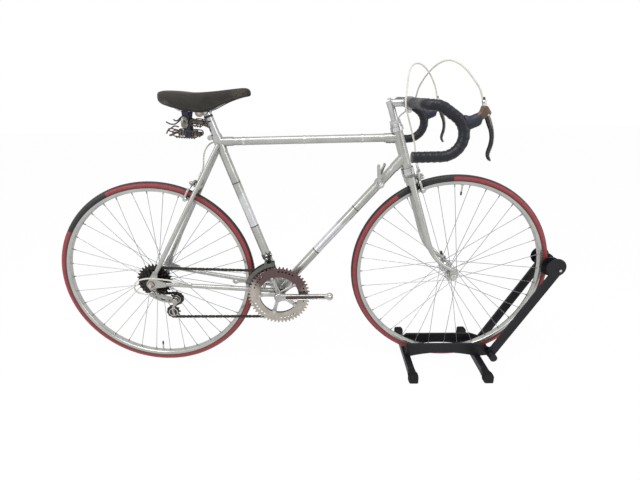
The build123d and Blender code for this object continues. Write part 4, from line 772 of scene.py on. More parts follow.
stem_bolts = bolt(beside(stem_corner + (-0.0028, 0.0102), 0), steerer_way, 0.0058, 0.0045)
clamp_ears = slab(
    softened([(-0.012, -0.017), (0.006, -0.0185), (0.006, -0.029), (-0.001, -0.031), (-0.010, -0.027)], 2),
    beside(bar_middle, 0), 2 * clamp_half_width, 0.002,
)
for sign in (-1, 1):
    face_at = beside(bar_middle - (0.001, clamp_bolt_drop), sign * clamp_half_width)
    stem_bolts += bolt(face_at, left * sign, 0.0048, 0.004)
piece("stem_clamp_ears", [clamp_ears], stem_alloy, "steering")
piece("stem_bolts", stem_bolts, chrome, "steering")
headset_washer = [
    (0.0166, 0.0), (0.0176, 0.0008), (0.0176, 0.0032), (0.0168, 0.0040), (0.0150, 0.0040), (0.0150, 0.0),
]
washers = [
    turned(headset_washer, on_head(height), steerer_way, 40, loop=True)
    for height in (0.1625, 0.1668)
]
piece("headset_washers", washers, chrome, "steering")

# ---- Bar tape --------------------------------------------------------------------------------
# Black cloth-backed tape with a navy cast and a slight shine, wound from near the stem to the bar's
# ends, each turn lapping the last, and tucked in by a round end plug.

bar_run = np.array([
    (0.8424, 0.0, 0.5601), (0.8424, 0.198, 0.5601), (0.8804, 0.199, 0.5561), (0.9420, 0.200, 0.5111),
    (0.9420, 0.205, 0.4261), (0.8120, 0.207, 0.4261),
])
bar_bends = (0.024, 0.050, 0.056, 0.056)
tape_start = 0.048
tape_pitch = 0.016
tape_inner = 0.0142
tape_lap = 0.0013
tape_rise_share = 0.86
weave_cells_a_metre = 1400.0
weave_depth = 0.00008
tape_end_side = 0.0525


def bent(points, radii, step):
    """Points an even step apart along straight runs joined by arcs, each tangent to its two runs."""
    points = np.asarray(points, float)
    track = [points[:1]]
    for before, corner, after, radius in zip(points, points[1:], points[2:], radii):
        into, out = unit(corner - before), unit(after - corner)
        half_turn = np.arccos(np.clip(into @ out, -1, 1)) / 2
        normal = unit(out - into)
        centre = corner + normal * radius / np.cos(half_turn)
        swing = np.linspace(-half_turn, half_turn, 24)[:, None]
        across = unit(into + out)
        track.append(centre + radius * (np.sin(swing) * across - np.cos(swing) * normal))
    track.append(points[-1:])
    track = np.concatenate(track)
    length = np.append(0, np.cumsum(np.linalg.norm(np.diff(track, axis=0), axis=1)))
    at_lengths = np.linspace(0, length[-1], int(length[-1] / step) + 1)
    return np.stack([np.interp(at_lengths, length, track[:, k]) for k in range(3)], 1), at_lengths


tape_cloth, tree, shader = finish(
    "tape_cloth", (0.0050, 0.0060, 0.0115), (0.0025, 0.0030, 0.0060), 0.0, (0.32, 0.48), 160,
    (2400, 0.0001), Coat_Weight=0.06, Coat_Roughness=0.3, Specular_IOR_Level=0.35,
)
uv = node(tree, "UVMap").outputs[0]
weave = node(
    tree, "TexVoronoi", {"Vector": uv, "Scale": weave_cells_a_metre}, distance="CHEBYCHEV"
).outputs[0]
bump_over(tree, shader, weave, weave_depth)
# A tape ring's radius is the inner one and a share of the lap. The share rises evenly over most of
# each turn of the winding and falls back sharply, which leaves the edge of a lap.
end_plug = [
    (0.0, -0.002), (0.0125, -0.002), (0.0152, 0.0008), (0.0150, 0.0034), (0.0125, 0.0048), (0.0, 0.0050),
]
tape_wraps, tape_plugs = [], []
for sign in (1, -1):
    track, along = bent(bar_run * (1, sign, 1), bar_bends, 0.0014)
    track, along = track[along > tape_start], along[along > tape_start]
    track = at(track)
    run = unit(np.gradient(track, axis=0))
    level = axis(0.1, 0.35 * sign, 0.6)
    u = unit(level - run * (run @ level)[:, None])
    w = np.cross(run, u)
    turn = full_turn(32)[None, :]
    phase = (along[:, None] / tape_pitch - sign * turn / (2 * np.pi)) % 1
    lap = np.where(phase < tape_rise_share, phase / tape_rise_share, (1 - phase) / (1 - tape_rise_share))
    sink = np.clip((along - tape_start) / 0.004, 0.35, 1)[:, None]
    uneven = 0.75 + 0.25 * np.sin(7 * along[:, None] / tape_pitch)
    radius = (tape_inner + tape_lap * lap * uneven) * sink ** 0.05
    ring = np.cos(turn)[..., None] * u[:, None] + np.sin(turn)[..., None] * w[:, None]
    tape_wraps.append(skin(track[:, None] + radius[..., None] * ring))
    tape_plugs.append(turned(end_plug, track[-1], run[-1], 28))
piece("wound_bar_tape", tape_wraps, tape_cloth, "steering", ("bar_tape",), sharp=60)
piece("bar_end_plugs", tape_plugs, cap_plastic, "steering")
band = [
    (0.0152, -0.005), (0.0158, -0.0046), (0.0158, 0.0046), (0.0152, 0.005), (0.0130, 0.005),
    (0.0130, -0.005),
]
tape_ends = [
    turned(band, beside(bar_middle, sign * tape_end_side), left, 32, loop=True)
    for sign in (1, -1)
]
piece("tape_end_bands", tape_ends, line_black, "steering")

# ---- Brake levers ----------------------------------------------------------------------------
# Drop-bar levers: a navy rubber hood stretched over a bronze-painted bracket, a bright cable ferrule
# with a black cap on top, and an alloy blade hung on a cross pin, its cheeks painted dark as shade and its
# front edge pale.

hood_at = np.array([0.9420, 0.5291])
hood_y = 0.201
cheek_side = 0.0052
blade_width = 0.0118
pin_side = 0.0102
cheek_share, edge_share = 0.40, 0.14
hood_rubber = finish(
    "hood_rubber", (0.0060, 0.0080, 0.0200), (0.014, 0.017, 0.034), 0.0, (0.36, 0.55), 110, (1600, 0.00015),
    Specular_IOR_Level=0.4,
)[0]
bracket_bronze = finish(
    "bracket_bronze", (0.115, 0.050, 0.026), (0.075, 0.066, 0.045), 0.45, (0.3, 0.5), 160, (1400, 0.00008),
    Coat_Weight=0.2,
)[0]
# The blade cheeks are coloured near black: painted shade on a silver lever.
blade_painted_shade = finish(
    "blade_painted_shade", (0.030, 0.030, 0.031), (0.055, 0.054, 0.053), 0.8, (0.3, 0.45), 120, (1800, 0.00005)
)[0]
hood_stations = np.array(
    [
        (-0.0010, -0.0180, 0.0205, 0.0125), (0.0060, -0.0178, 0.0205, 0.0150),
        (0.0120, -0.0172, 0.0180, 0.0146), (0.0200, -0.0150, 0.0168, 0.0138),
        (0.0280, -0.0118, 0.0168, 0.0134), (0.0345, -0.0086, 0.0160, 0.0132),
        (0.0372, -0.0050, 0.0135, 0.0128), (0.0385, -0.0038, 0.0110, 0.0112),
    ]
)
blade_front = np.array([
    (0.0590, 0.0030), (0.0665, -0.0140), (0.0735, -0.0360), (0.0765, -0.0580), (0.0752, -0.0780),
    (0.0700, -0.0960), (0.0695, -0.1060), (0.0742, -0.1165),
])
blade_back = np.array([
    (0.0500, -0.0040), (0.0580, -0.0240), (0.0655, -0.0420), (0.0685, -0.0600), (0.0668, -0.0770),
    (0.0625, -0.0940), (0.0635, -0.1070), (0.0708, -0.1185),
])


def smooth(points, steps):
    """A curve through points, p(t) = (2b + (c-a)t + (2a-5b+4c-d)t^2 + (3b-a-3c+d)t^3) / 2 from b to c."""
    points = np.asarray(points, float)
    padded = np.concatenate([2 * points[:1] - points[1:2], points, 2 * points[-1:] - points[-2:-1]])
    a, b, c, d = padded[:-3, None], padded[1:-2, None], padded[2:-1, None], padded[3:, None]
    t = np.linspace(0, 1, steps, endpoint=False)[None, :, None]
    curve = 2 * b + (c - a) * t + (2 * a - 5 * b + 4 * c - d) * t**2 + (3 * b - a - 3 * c + d) * t**3
    curve = curve / 2
    return np.concatenate([curve.reshape(-1, points.shape[1]), points[-1:]])


def hood_point(x, z, side):
    """A point of a brake lever, from its bracket's corner beside the bar."""
    x, side, z = np.broadcast_arrays(x, side, z)
    return at(np.stack([hood_at[0] + x, side, hood_at[1] + z], -1))


bracket = [
    (0.026, 0.004), (0.035, 0.008), (0.0385, 0.0175), (0.040, 0.0245), (0.0525, 0.0245), (0.0580, 0.0160),
    (0.0640, 0.0070), (0.0620, 0.0000), (0.0480, -0.0075), (0.0400, -0.0125), (0.0260, -0.0130),
]
ferrule = [
    (0.0, 0.0), (0.0062, 0.0), (0.0062, 0.0030), (0.0052, 0.0040), (0.0052, 0.0085), (0.0060, 0.0095),
    (0.0058, 0.0118), (0.0040, 0.0140), (0.0, 0.0142),
]
ferrule_cap = [(0.0, 0.0138), (0.0037, 0.0138), (0.0035, 0.0195), (0.0028, 0.0215), (0.0, 0.0218)]
ferrule_way = axis(-0.16, 0, 0.987)
pin_end = [(0.0, 0.0), (0.0030, 0.0), (0.0028, 0.0008), (0.0, 0.0010)]
back, edge_line = smooth(blade_back, 6), smooth(blade_front, 6)
cheek_outline = np.concatenate([edge_line - (edge_line - back) * cheek_share, back[::-1]])
edge_outline = np.concatenate([edge_line, (edge_line - (edge_line - back) * edge_share)[::-1]])

# A hood's rings are ovals (half height cos t, half width sin t), leant back more toward the front.
# Each is drawn in a little at its top and bottom, and a fine wave along the hood is its wrinkles.
stations = smooth(hood_stations, 5)
station_x, station_z, half_height, half_width = np.split(stations, 4, axis=1)
lean = np.linspace(0.15, 0.42, len(stations))[:, None]
turn = full_turn(32)[None, :]
hood_x = station_x - np.sin(lean) * half_height * np.cos(turn)
hood_z = station_z + np.cos(lean) * half_height * np.cos(turn)
squeeze = 1 - 0.12 * np.cos(turn) ** 2
wrinkle = 1 + 0.02 * np.sin(34 * station_x / 0.038 * 2.2)
hood_side = half_width * np.sin(turn) * squeeze * wrinkle
hoods, brackets, blades, blade_edges, ferrules, ferrule_caps, pins = ([] for _ in range(7))
for sign in (1, -1):
    hoods.append(skin(hood_point(hood_x, hood_z, sign * hood_y + hood_side)))
    origin = hood_point(0, 0, sign * hood_y)
    brackets.append(slab(softened(bracket, 1), origin, 0.0205, 0.0060, 5))
    blade_edges.append(slab(edge_outline, origin, blade_width, 0.0005, 3))
    foot = hood_point(0.0462, 0.0240, sign * hood_y)
    ferrules.append(turned(ferrule, foot, ferrule_way, 22))
    ferrule_caps.append(turned(ferrule_cap, foot, ferrule_way, 16))
    for side in (1, -1):
        cheek_at = hood_point(0, 0, sign * hood_y + side * cheek_side)
        blades.append(slab(cheek_outline, cheek_at, 0.0016, 0.0004, 2))
        pin_at = hood_point(0.0545, 0.0015, sign * hood_y + side * pin_side)
        pins.append(turned(pin_end, pin_at, left * side, 14))
piece("brake_hood_rubbers", hoods, hood_rubber, "steering", ("brake_hoods",), sharp=50)
piece("brake_lever_brackets", brackets, bracket_bronze, "steering", sharp=50)
piece("brake_lever_blades", blades, blade_painted_shade, "steering", ("brake_levers",))
piece("brake_lever_edges", blade_edges, bar_alloy, "steering")
piece("brake_cable_ferrules", ferrules, chrome, "steering")
piece("brake_ferrule_caps", ferrule_caps, cap_plastic, "steering")
piece("brake_lever_pins", pins, chrome, "steering")

# ---- Brakes ----------------------------------------------------------------------------------
# Side-pull calipers in polished alloy: two arms crossed on one bolt, opened by a steel spring, with
# black rubber blocks in open alloy shoes and a knurled cable adjuster on the upper arm.


def ribbon(path, half_widths, steps=7):
    """The outline of a band along a smooth path, its half width smooth between the given ones."""
    track = smooth(np.column_stack([path, half_widths]), steps)
    run = unit(np.gradient(track[:, :2], axis=0))
    normal = np.stack([-run[:, 1], run[:, 0]], 1)
    return np.concatenate(
        [track[:, :2] + normal * track[:, 2:], (track[:, :2] - normal * track[:, 2:])[::-1]]
    )


brake_alloy = finish(
    "brake_alloy", (0.50, 0.50, 0.49), (0.36, 0.36, 0.35), 0.92, (0.2, 0.38), 110, (1800, 0.00004),
    Specular_Tint=(0.35, 0.35, 0.35, 1),
)[0]
block_rubber = finish(
    "block_rubber", (0.012, 0.012, 0.012), (0.03, 0.028, 0.026), 0.0, (0.6, 0.8), 200, (900, 0.0002)
)[0]


pad_side = 0.0151
shoe_side = 0.0181
stud_side = 0.0185
eye_side = 0.0314
pad_out = 0.008
adjuster_side = -0.029
arm_widths = [0.0045, 0.0048, 0.0052]
block_outline = [
    (-0.0165, -0.005), (-0.006, -0.0052), (0.006, -0.0052), (0.0165, -0.005), (0.0168, 0.003),
    (0.0120, 0.005), (-0.0120, 0.005), (-0.0168, 0.003),
]
spacer = [(0.0, -0.005), (0.0075, -0.005), (0.0082, -0.0040), (0.0082, 0.0005), (0.0, 0.0005)]
spring_bends = [
    (-0.0265, -0.024), (-0.019, 0.004), (-0.009, 0.0105), (0.009, 0.0105), (0.019, 0.004), (0.0265, -0.024),
]
adjuster = [
    (0.0, -0.006), (0.0026, -0.006), (0.0026, 0.002), (0.0050, 0.002), (0.0052, 0.003), (0.0052, 0.0085),
    (0.0046, 0.0095), (0.0034, 0.0098), (0.0034, 0.0138), (0.0, 0.0140),
]
stud = [(0.0, 0.0), (0.0026, 0.0), (0.0026, 0.0075), (0.0, 0.0075)]
eye = [
    (0.0, 0.0), (0.0062, 0.0), (0.0066, 0.0012), (0.0066, 0.0035), (0.0056, 0.0046), (0.0034, 0.0046),
    (0.0028, 0.0030), (0.0, 0.0028),
]


def brake(name, origin, across, rise, out, pad_up, pad_spin, body):
    """A caliper on a mounting face with the axes across, rise and out.

    Its blocks sit at the height pad_up on the face, and are tilted by pad_spin degrees.
    """
    across, rise, out = plane = np.array([across, rise, out], float)
    face = axis(*out)

    def place(x, y, z):
        return at(np.array(origin) + x * across + y * rise + z * out)

    def limb(line, half_widths, stand, thickness, edge=0.0022):
        return slab(ribbon(line, half_widths), place(0, 0, stand), thickness, edge, plane=plane)

    first_arm = [
        (-0.026, pad_up - 0.007), (-0.0315, pad_up + 0.014), (-0.029, -0.014), (-0.015, -0.002),
        (0.004, 0.0),
    ]
    upper_arm = [(-0.0245, -0.008), (-0.0325, 0.004), (-0.0305, 0.018), (-0.029, 0.0245)]
    second_arm = [
        (0.026, pad_up - 0.007), (0.0315, pad_up + 0.014), (0.028, -0.012), (0.012, 0.0), (-0.012, 0.0035),
        (-0.0325, 0.0005),
    ]
    arms = [
        limb(first_arm, arm_widths + [0.0058, 0.0075], 0.0042, 0.0074),
        limb(upper_arm, [0.005, 0.0042, 0.0042, 0.0045], 0.0042, 0.0072),
        limb(second_arm, arm_widths + [0.0066, 0.0066, 0.0042], 0.0122, 0.0072),
        limb(
            [(-0.034, 0.0255), (-0.042, 0.029), (-0.050, 0.0275)], [0.0035, 0.0030, 0.0022], 0.008, 0.0036,
            0.0012,
        ),
    ]
    steel = bolt(place(0, 0, 0.0158), face, 0.0062, 0.0048)
    steel += bolt(place(0, 0, 0.0205), face, 0.0042, 0.0040)
    steel.append(turned(spacer, place(0, 0, 0), face, 24))
    steel += bolt(place(adjuster_side, 0.0005, 0.0155), face, 0.0044, 0.0042)
    spring = [place(x, y, -0.0018) for x, y in smooth(spring_bends, 6)]
    steel.append(pipe(spring, 0.0011, 8, side=face))
    steel.append(turned(adjuster, place(adjuster_side, 0.020, pad_out), axis(*rise), 14))
    wire = [place(adjuster_side, height, 0.0085) for height in (0.016, 0.008, -0.006)]
    steel.append(pipe(wire, 0.0008, 6, side=face))
    turn = np.radians(pad_spin)
    along = np.cos(turn) * out + np.sin(turn) * rise
    above = np.cos(turn) * rise - np.sin(turn) * out
    blocks, shoes = [], []
    for sign in (1, -1):
        pad_plane = (along, above, across * sign)
        pad_at, shoe_at, stud_at, eye_at = (
            place(sign * side, pad_up, pad_out) for side in (pad_side, shoe_side, stud_side, eye_side)
        )
        outward_way = axis(*across) * sign
        blocks.append(slab(softened(block_outline, 1), pad_at, 0.0042, 0.0008, 3, pad_plane))
        shoe_outline = softened(np.array(block_outline) * 1.06, 1)
        shoes.append(slab(shoe_outline, shoe_at, 0.0024, 0.0008, 3, pad_plane))
        shoes.append(turned(stud, stud_at, outward_way, 12))
        steel.append(turned(eye, eye_at, outward_way, 20))
    piece(name + "_arms", arms, brake_alloy, body, (name,))
    piece(name + "_bolts", steel, chrome, body)
    pads = (name.replace("caliper", "pads"),)
    piece(name.replace("caliper", "blocks"), blocks, block_rubber, body, pads)
    piece(name.replace("caliper", "shoes"), shoes, brake_alloy, body)


front_face = (0.87169, 0, 0.32818)
rear_face = (0.1642, 0, 0.3161)
stay_up = np.array([0.4955, 0.8686])
brake(
    "front_brake_caliper", front_face, (0, 1, 0), (head_up[0], 0, head_up[1]), (head_up[1], 0, -head_up[0]),
    -0.0418, 4, "steering",
)
brake(
    "rear_brake_caliper", rear_face, (0, -1, 0), (stay_up[0], 0, stay_up[1]), (-stay_up[1], 0, stay_up[0]),
    -0.0477, -4, "frame",
)

# ---- Crankset --------------------------------------------------------------------------------
# Forged and polished alloy cranks on a square-taper spindle. Each arm has a long flute in its face;
# the right one's five spider arms carry two warm silver chainrings, the outer one drilled.

crank_alloy = finish(
    "crank_alloy", (0.50, 0.49, 0.47), (0.38, 0.37, 0.36), 0.92, (0.18, 0.34), 60, (1500, 0.00004),
    Specular_Tint=(0.4, 0.4, 0.4, 1),
)[0]
# A thin near-black sheet lies in each arm's flute, so the flute reads darker than the arm.
flute_dark_fill = finish(
    "flute_dark_fill", (0.045, 0.032, 0.032), (0.075, 0.055, 0.055), 0.4, (0.45, 0.6), 200, (1500, 0.00006)
)[0]
ring_alloy, tree, shader = finish(
    "ring_alloy", (0.46, 0.425, 0.38), (0.36, 0.33, 0.30), 0.9, (0.22, 0.36), 40, (1500, 0.00004),
    Specular_Tint=(0.35, 0.34, 0.33, 1),
)


def nearness(tree, place, point, reach, core):
    """1 within the core distance of a point, 0 past the reach, and an even fall between them."""
    sockets = {0: place, 1: tuple(at(point))}
    away = node(tree, "VectorMath", sockets, operation="DISTANCE").outputs["Value"]
    return step_up(tree, away, reach, core)


ring_place = node(tree, "TexCoord").outputs["Object"]
# The rings turn dark plum over their upper part, within reach of a point above the spindle.
plum_patch = nearness(tree, ring_place, (0.432, -0.049, 0.040), 0.118, 0.092)
ring_tone = shader.inputs["Base Color"].links[0].from_socket
tree.links.new(mixed(tree, plum_patch, ring_tone, (0.125, 0.082, 0.082, 1)), shader.inputs["Base Color"])
dress(ring_alloy, "satin_alloy", "outer_chainring", "inner_chainring")
dress(chrome, "chrome_steel", "crank_spindle", "bottom_bracket_cups")
crank_length = 0.170
arm_thickness = 0.012
arm_side = 0.064
boss_side = 0.0430
spider_side = -0.0455
bolt_circle = 0.065
bolt_side = -0.0500
spider_turns = np.radians(36 + 72 * np.arange(5))
shell = bottom_bracket[[0, 2]]
ring_bolt_head = [
    (0.0, 0.0), (0.0050, 0.0), (0.0054, 0.0006), (0.0052, 0.0020), (0.0034, 0.0024), (0.0026, 0.0012),
    (0.0, 0.0010),
]
ring_nut = [
    (0.0, -0.0006), (0.0050, -0.0006), (0.0050, 0.0010), (0.0040, 0.0012), (0.0040, 0.0095), (0.0, 0.0095),
]
pedal_eye = [
    (0.0066, -0.006), (0.0106, -0.006), (0.0115, -0.0050), (0.0115, 0.0050), (0.0106, 0.006),
    (0.0072, 0.006), (0.0066, 0.0054),
]
arm_boss = [
    (0.0, 0.0), (0.0130, 0.0), (0.0150, 0.0020), (0.0150, 0.0200), (0.0146, 0.0240), (0.0135, 0.0262),
    (0.0118, 0.0270), (0.0116, 0.0262), (0.0104, 0.0260), (0.0100, 0.0272), (0.0, 0.0278),
]


def crank(name, direction, sign, body):
    """An arm fluted on its outer face. Its section is |z/h|^4 + |y/t|^4 = 1, h and t less at the eye."""
    middle_y = sign * arm_side
    share = np.linspace(0, 1, 41)[:, None]
    turn = full_turn(120)[None, :]
    half_height = 0.0120 - 0.0040 * share - 0.0006 * np.sin(np.pi * share)
    half_thick = arm_thickness / 2 - 0.0002 * share
    round_corner = np.abs(np.cos(turn)) ** 4 + np.abs(np.sin(turn)) ** 4
    z = half_height * np.cos(turn) / round_corner**0.25
    y = half_thick * np.sin(turn) / round_corner**0.25
    in_length = np.clip((share - 0.11) / 0.04, 0, 1) * np.clip((0.945 - share) / 0.03, 0, 1)
    in_height = np.clip((0.66 - np.abs(z) / half_height) / 0.16, 0, 1)
    y = y - 0.0022 * in_length * in_height * (np.sin(turn) > 0)
    x = bottom_bracket[0] + direction * (crank_length - 0.006) * share + 0 * turn
    arm = skin(at(np.stack([x, middle_y + sign * y, bottom_bracket[2] + z], -1)))
    eye_at = beside(shell + (direction * crank_length, 0), middle_y)
    parts = [arm, turned(pedal_eye, eye_at, left * sign, 32, loop=True)]
    parts.append(turned(arm_boss, beside(shell, sign * boss_side), left * sign, 40))
    length = np.linspace(0.140, 0.915, 9)
    flute_half = 0.0048 - 0.0018 * (length - 0.2)
    edge = np.stack([length * crank_length, flute_half], 1)
    outline = softened(np.concatenate([edge, (edge * (1, -1))[::-1]]), 1) * (direction, 1)
    flute_at = beside(shell, middle_y + sign * (arm_thickness / 2 - 0.0014))
    flute = slab(outline, flute_at, 0.0006, 0.0001, 2)
    if sign < 0:
        for spin in spider_turns:
            out = np.array([np.cos(spin), np.sin(spin)])
            line = [out * reach for reach in (0.006, 0.022, 0.042, 0.060, 0.0715)]
            outline = ribbon(line, [0.0100, 0.0068, 0.0056, 0.0066, 0.0040])
            parts.append(slab(outline, beside(shell, spider_side), 0.0050, 0.0016))
    piece(name + "_forging", parts, crank_alloy, body, (name,), sharp=40)
    piece(name + "_flute", [flute], flute_dark_fill, body)


crank("right_crank", 1, -1, "crankset")
crank("left_crank", -1, 1, "crankset")
ring_bolts = []
for spin in spider_turns:
    place = beside(shell + bolt_circle * np.array([np.cos(spin), np.sin(spin)]), bolt_side)
    ring_bolts.append(turned(ring_bolt_head, place, -left, 20))
    ring_bolts.append(turned(ring_nut, place + left * 0.0095, -left, 16))
piece("chainring_bolts", ring_bolts, chrome, "crankset")

# ---- Freewheel and chain ---------------------------------------------------------------------
# A five-speed freewheel of stamped steel sprockets and a bushed steel chain, both black with old
# oil. The chain is inner and outer link plates in turn, riveted over rollers 12.7 mm apart.

oily_steel = finish(
    "oily_steel", (0.020, 0.019, 0.018), (0.055, 0.050, 0.045), 0.75, (0.28, 0.5), 190, (1600, 0.00006)
)[0]
pulley_plastic = finish(
    "pulley_plastic", (0.012, 0.012, 0.012), (0.03, 0.028, 0.026), 0.0, (0.4, 0.6), 200, (1600, 0.00008)
)[0]
dress(oily_steel, "dark_steel", "freewheel")
dress(pulley_plastic, "dark_steel", "derailleur_pulleys")
chain_pitch = 0.0127
chain_line = -0.042
inner_plates, outer_plates = (0.0018, 0.0008), (0.0027, 0.0007)
plate_end_radius = 0.0041
roller = [
    (0.0, -0.0032), (0.0017, -0.0032), (0.0017, -0.0014), (0.0038, -0.0014), (0.0038, 0.0014),
    (0.0017, 0.0014), (0.0017, 0.0032), (0.0, 0.0032),
]
tension_pulley = np.array([0.052, -0.116])
guide_pulley = np.array([0.068, -0.066])


def pitch_radius(teeth):
    """The circle through a sprocket's chain pins: pitch / (2 sin(half a tooth's turn))."""
    return chain_pitch / (2 * np.sin(np.pi / teeth))


chain_wheels = [
    (shell, pitch_radius(42), 1), (tension_pulley, pitch_radius(10), 1),
    (guide_pulley, pitch_radius(10), -1), (np.zeros(2), pitch_radius(24), 1),
]
chain_runs = []
for (first, first_radius, first_way), (second, second_radius, second_way) in zip(
    chain_wheels, chain_wheels[1:] + chain_wheels[:1]
):
    gap = second - first
    rise = first_way * first_radius - second_way * second_radius
    heading = np.arctan2(gap[1], gap[0]) - np.arcsin(rise / np.linalg.norm(gap))
    normal = np.array([-np.sin(heading), np.cos(heading)])
    chain_runs.append(
        (first + first_way * first_radius * normal, second + second_way * second_radius * normal)
    )
loop_points = []
for index, (centre, radius, way) in enumerate(chain_wheels):
    ends = (chain_runs[index - 1][1], chain_runs[index][0])
    arrive, depart = (np.arctan2(*(point - centre)[::-1]) for point in ends)
    swing = -((arrive - depart) % (2 * np.pi)) if way > 0 else (depart - arrive) % (2 * np.pi)
    angles = np.linspace(arrive, arrive + swing, 60)
    loop_points.append(centre + radius * np.stack([np.cos(angles), np.sin(angles)], 1))
loop_points = np.concatenate(loop_points)
loop_points = np.concatenate([loop_points, loop_points[:1]])
loop_length = np.append(0, np.cumsum(np.linalg.norm(np.diff(loop_points, axis=0), axis=1)))
link_count = 2 * round(loop_length[-1] / chain_pitch / 2)
pins = np.linspace(0, loop_length[-1], link_count, endpoint=False)
pin_places = np.stack([np.interp(pins, loop_length, loop_points[:, k]) for k in range(2)], 1)
plate_turn = np.linspace(0.5 * np.pi, 1.5 * np.pi, 6)
plate_end = np.stack([np.cos(plate_turn), np.sin(plate_turn)], 1) * plate_end_radius
waist = np.array([(chain_pitch / 2, -0.0031)])
plate_outline = np.concatenate([plate_end, waist, -plate_end + (chain_pitch, 0), waist * (1, -1)])
links = []
for index in range(link_count):
    start, end = pin_places[index], pin_places[(index + 1) % link_count]
    run = unit(end - start)
    spin = np.array([run, (-run[1], run[0])])
    reach, thickness = (inner_plates, outer_plates)[index % 2]
    for side in (1, -1):
        plate_at = beside(start, chain_line + side * reach)
        links.append(slab(plate_outline @ spin, plate_at, thickness, 0.0002, 2))
    links.append(turned(roller, beside(start, chain_line), left, 8))
piece("chain_links", links, oily_steel, "frame", ("chain",))

# ---- Derailleurs -----------------------------------------------------------------------------
# The rear mechanism is a chromed alloy parallelogram on the hanger, with a cage of open ringed
# plates. The front one is a banded clamp on the seat tube, with a black linkage and a grey cage.

mech_alloy = finish(
    "mech_alloy", (0.46, 0.45, 0.43), (0.30, 0.29, 0.275), 0.92, (0.2, 0.4), 150, (1600, 0.00005),
    Specular_Tint=(0.35, 0.35, 0.35, 1),
)[0]
hanger = np.array([0.007, -0.028])
cage_half_width = 0.0061
hanger_face = -0.0680
link_slant = 0.30


def ringed(outer, inner, centre, y, thickness):
    """A flat ring about a cross axis, its rims a little rounded."""
    half, edge = thickness / 2, thickness * 0.25
    profile = [
        (outer - edge, -half), (outer, edge - half), (outer, half - edge), (outer - edge, half),
        (inner + edge, half), (inner, half - edge), (inner, edge - half), (inner + edge, -half),
    ]
    return turned(profile, beside(centre, y), left, 32, loop=True)


cage_parts = []
for side in (1, -1):
    y = chain_line + side * cage_half_width
    for centre, outer in ((guide_pulley, 0.0150), (tension_pulley, 0.0158)):
        cage_parts.append(ringed(outer, outer - 0.0036, centre, y, 0.0018))
        bar = [centre + (-0.0025, outer - 0.002), centre, centre + (0.0025, 0.002 - outer)]
        cage_parts.append(slab(ribbon(bar, [0.0026, 0.0040, 0.0026]), at([0, y, 0]), 0.0017, 0.0004, 2))
        cage_parts += bolt(beside(centre, y + side * 0.0008), left * side, 0.0032, 0.0022)
    half_way = (guide_pulley + tension_pulley) / 2
    link = [guide_pulley + (-0.0005, -0.012), half_way + (-0.003, 0.0), tension_pulley + (0.001, 0.012)]
    cage_parts.append(slab(ribbon(link, [0.0060, 0.0045, 0.0060]), at([0, y, 0]), 0.0017, 0.0004, 2))
piece("rear_derailleur_rings", cage_parts, mech_alloy, "frame", ("rear_derailleur_cage",))

knuckle = [
    (0.0, 0.0), (0.0090, 0.0), (0.0100, 0.0012), (0.0100, 0.0040), (0.0092, 0.0048), (0.0092, 0.0128),
    (0.0098, 0.0138), (0.0098, 0.0160), (0.0086, 0.0170), (0.0, 0.0171),
]
body_parts = [
    turned(knuckle, beside(hanger, hanger_face), -left, 32),
    turned(knuckle, beside(guide_pulley, -0.0492), -left, 32),
]
body_parts += bolt(beside(hanger, hanger_face - 0.0170), -left, 0.0052, 0.0035)
outer_link = [(0.002, -0.022), (0.020, -0.034), (0.040, -0.047), (0.062, -0.058)]
inner_link = [(0.004, -0.036), (0.020, -0.049), (0.040, -0.061), (0.062, -0.071)]
slanted = ((1, link_slant, 0), (0, 0, 1), (0, 1, 0))
for line, half_widths, y, thickness, edge in (
    (outer_link, [0.0060, 0.0075, 0.0068, 0.0058], -0.0800, 0.0050, 0.0016),
    (inner_link, [0.0050, 0.0070, 0.0068, 0.0050], -0.0760, 0.0046, 0.0014),
):
    body_parts.append(slab(ribbon(line, half_widths), at([0, y, 0]), thickness, edge, plane=slanted))
pivots = [(0.010, -0.029), (0.052, -0.053), (0.014, -0.044), (0.052, -0.066)]
for x, z in pivots:
    body_parts += bolt(at([x, -0.0828 + link_slant * x, z]), -left, 0.0030, 0.0018, 16)
piece("rear_derailleur_links", body_parts, mech_alloy, "frame", ("rear_derailleur_body",))
stop_body = [(0.024, -0.045), (0.034, -0.050), (0.042, -0.058), (0.034, -0.058), (0.024, -0.053)]
dark_bits = [slab(softened(stop_body), at([0, -0.0650, 0]), 0.0120, 0.0020)]
stop_screw = [(0.0, 0.0), (0.0024, 0.0), (0.0024, 0.0060), (0.0, 0.0064)]
for place in ((0.022, -0.0720, -0.030), (0.028, -0.0720, -0.0335)):
    dark_bits.append(turned(stop_screw, at(place), axis(-0.3, -0.4, 0.86), 12))
piece("rear_derailleur_stops", dark_bits, oily_steel, "frame")
barrel = [
    (0.0, 0.0), (0.0040, 0.0), (0.0044, 0.0010), (0.0044, 0.0080), (0.0030, 0.0090), (0.0030, 0.0180),
    (0.0040, 0.0190), (0.0040, 0.0275), (0.0, 0.0280),
]
piece(
    "derailleur_adjuster", [turned(barrel, at([-0.021, -0.0765, -0.028]), forward, 18)], chrome, "frame",
)

cage_grey = finish(
    "cage_grey", (0.15, 0.15, 0.14), (0.10, 0.10, 0.095), 0.85, (0.24, 0.4), 120, (1500, 0.00004)
)[0]
dress(cage_grey, "satin_alloy", "front_derailleur")


seat_up = np.array([-0.3090, 0.9511])


def on_seat(height, ahead=0.0):
    """A side-plane point at a height up the seat tube and a distance ahead of its middle line."""
    return shell + seat_up * height + np.array([seat_up[1], -seat_up[0]]) * ahead


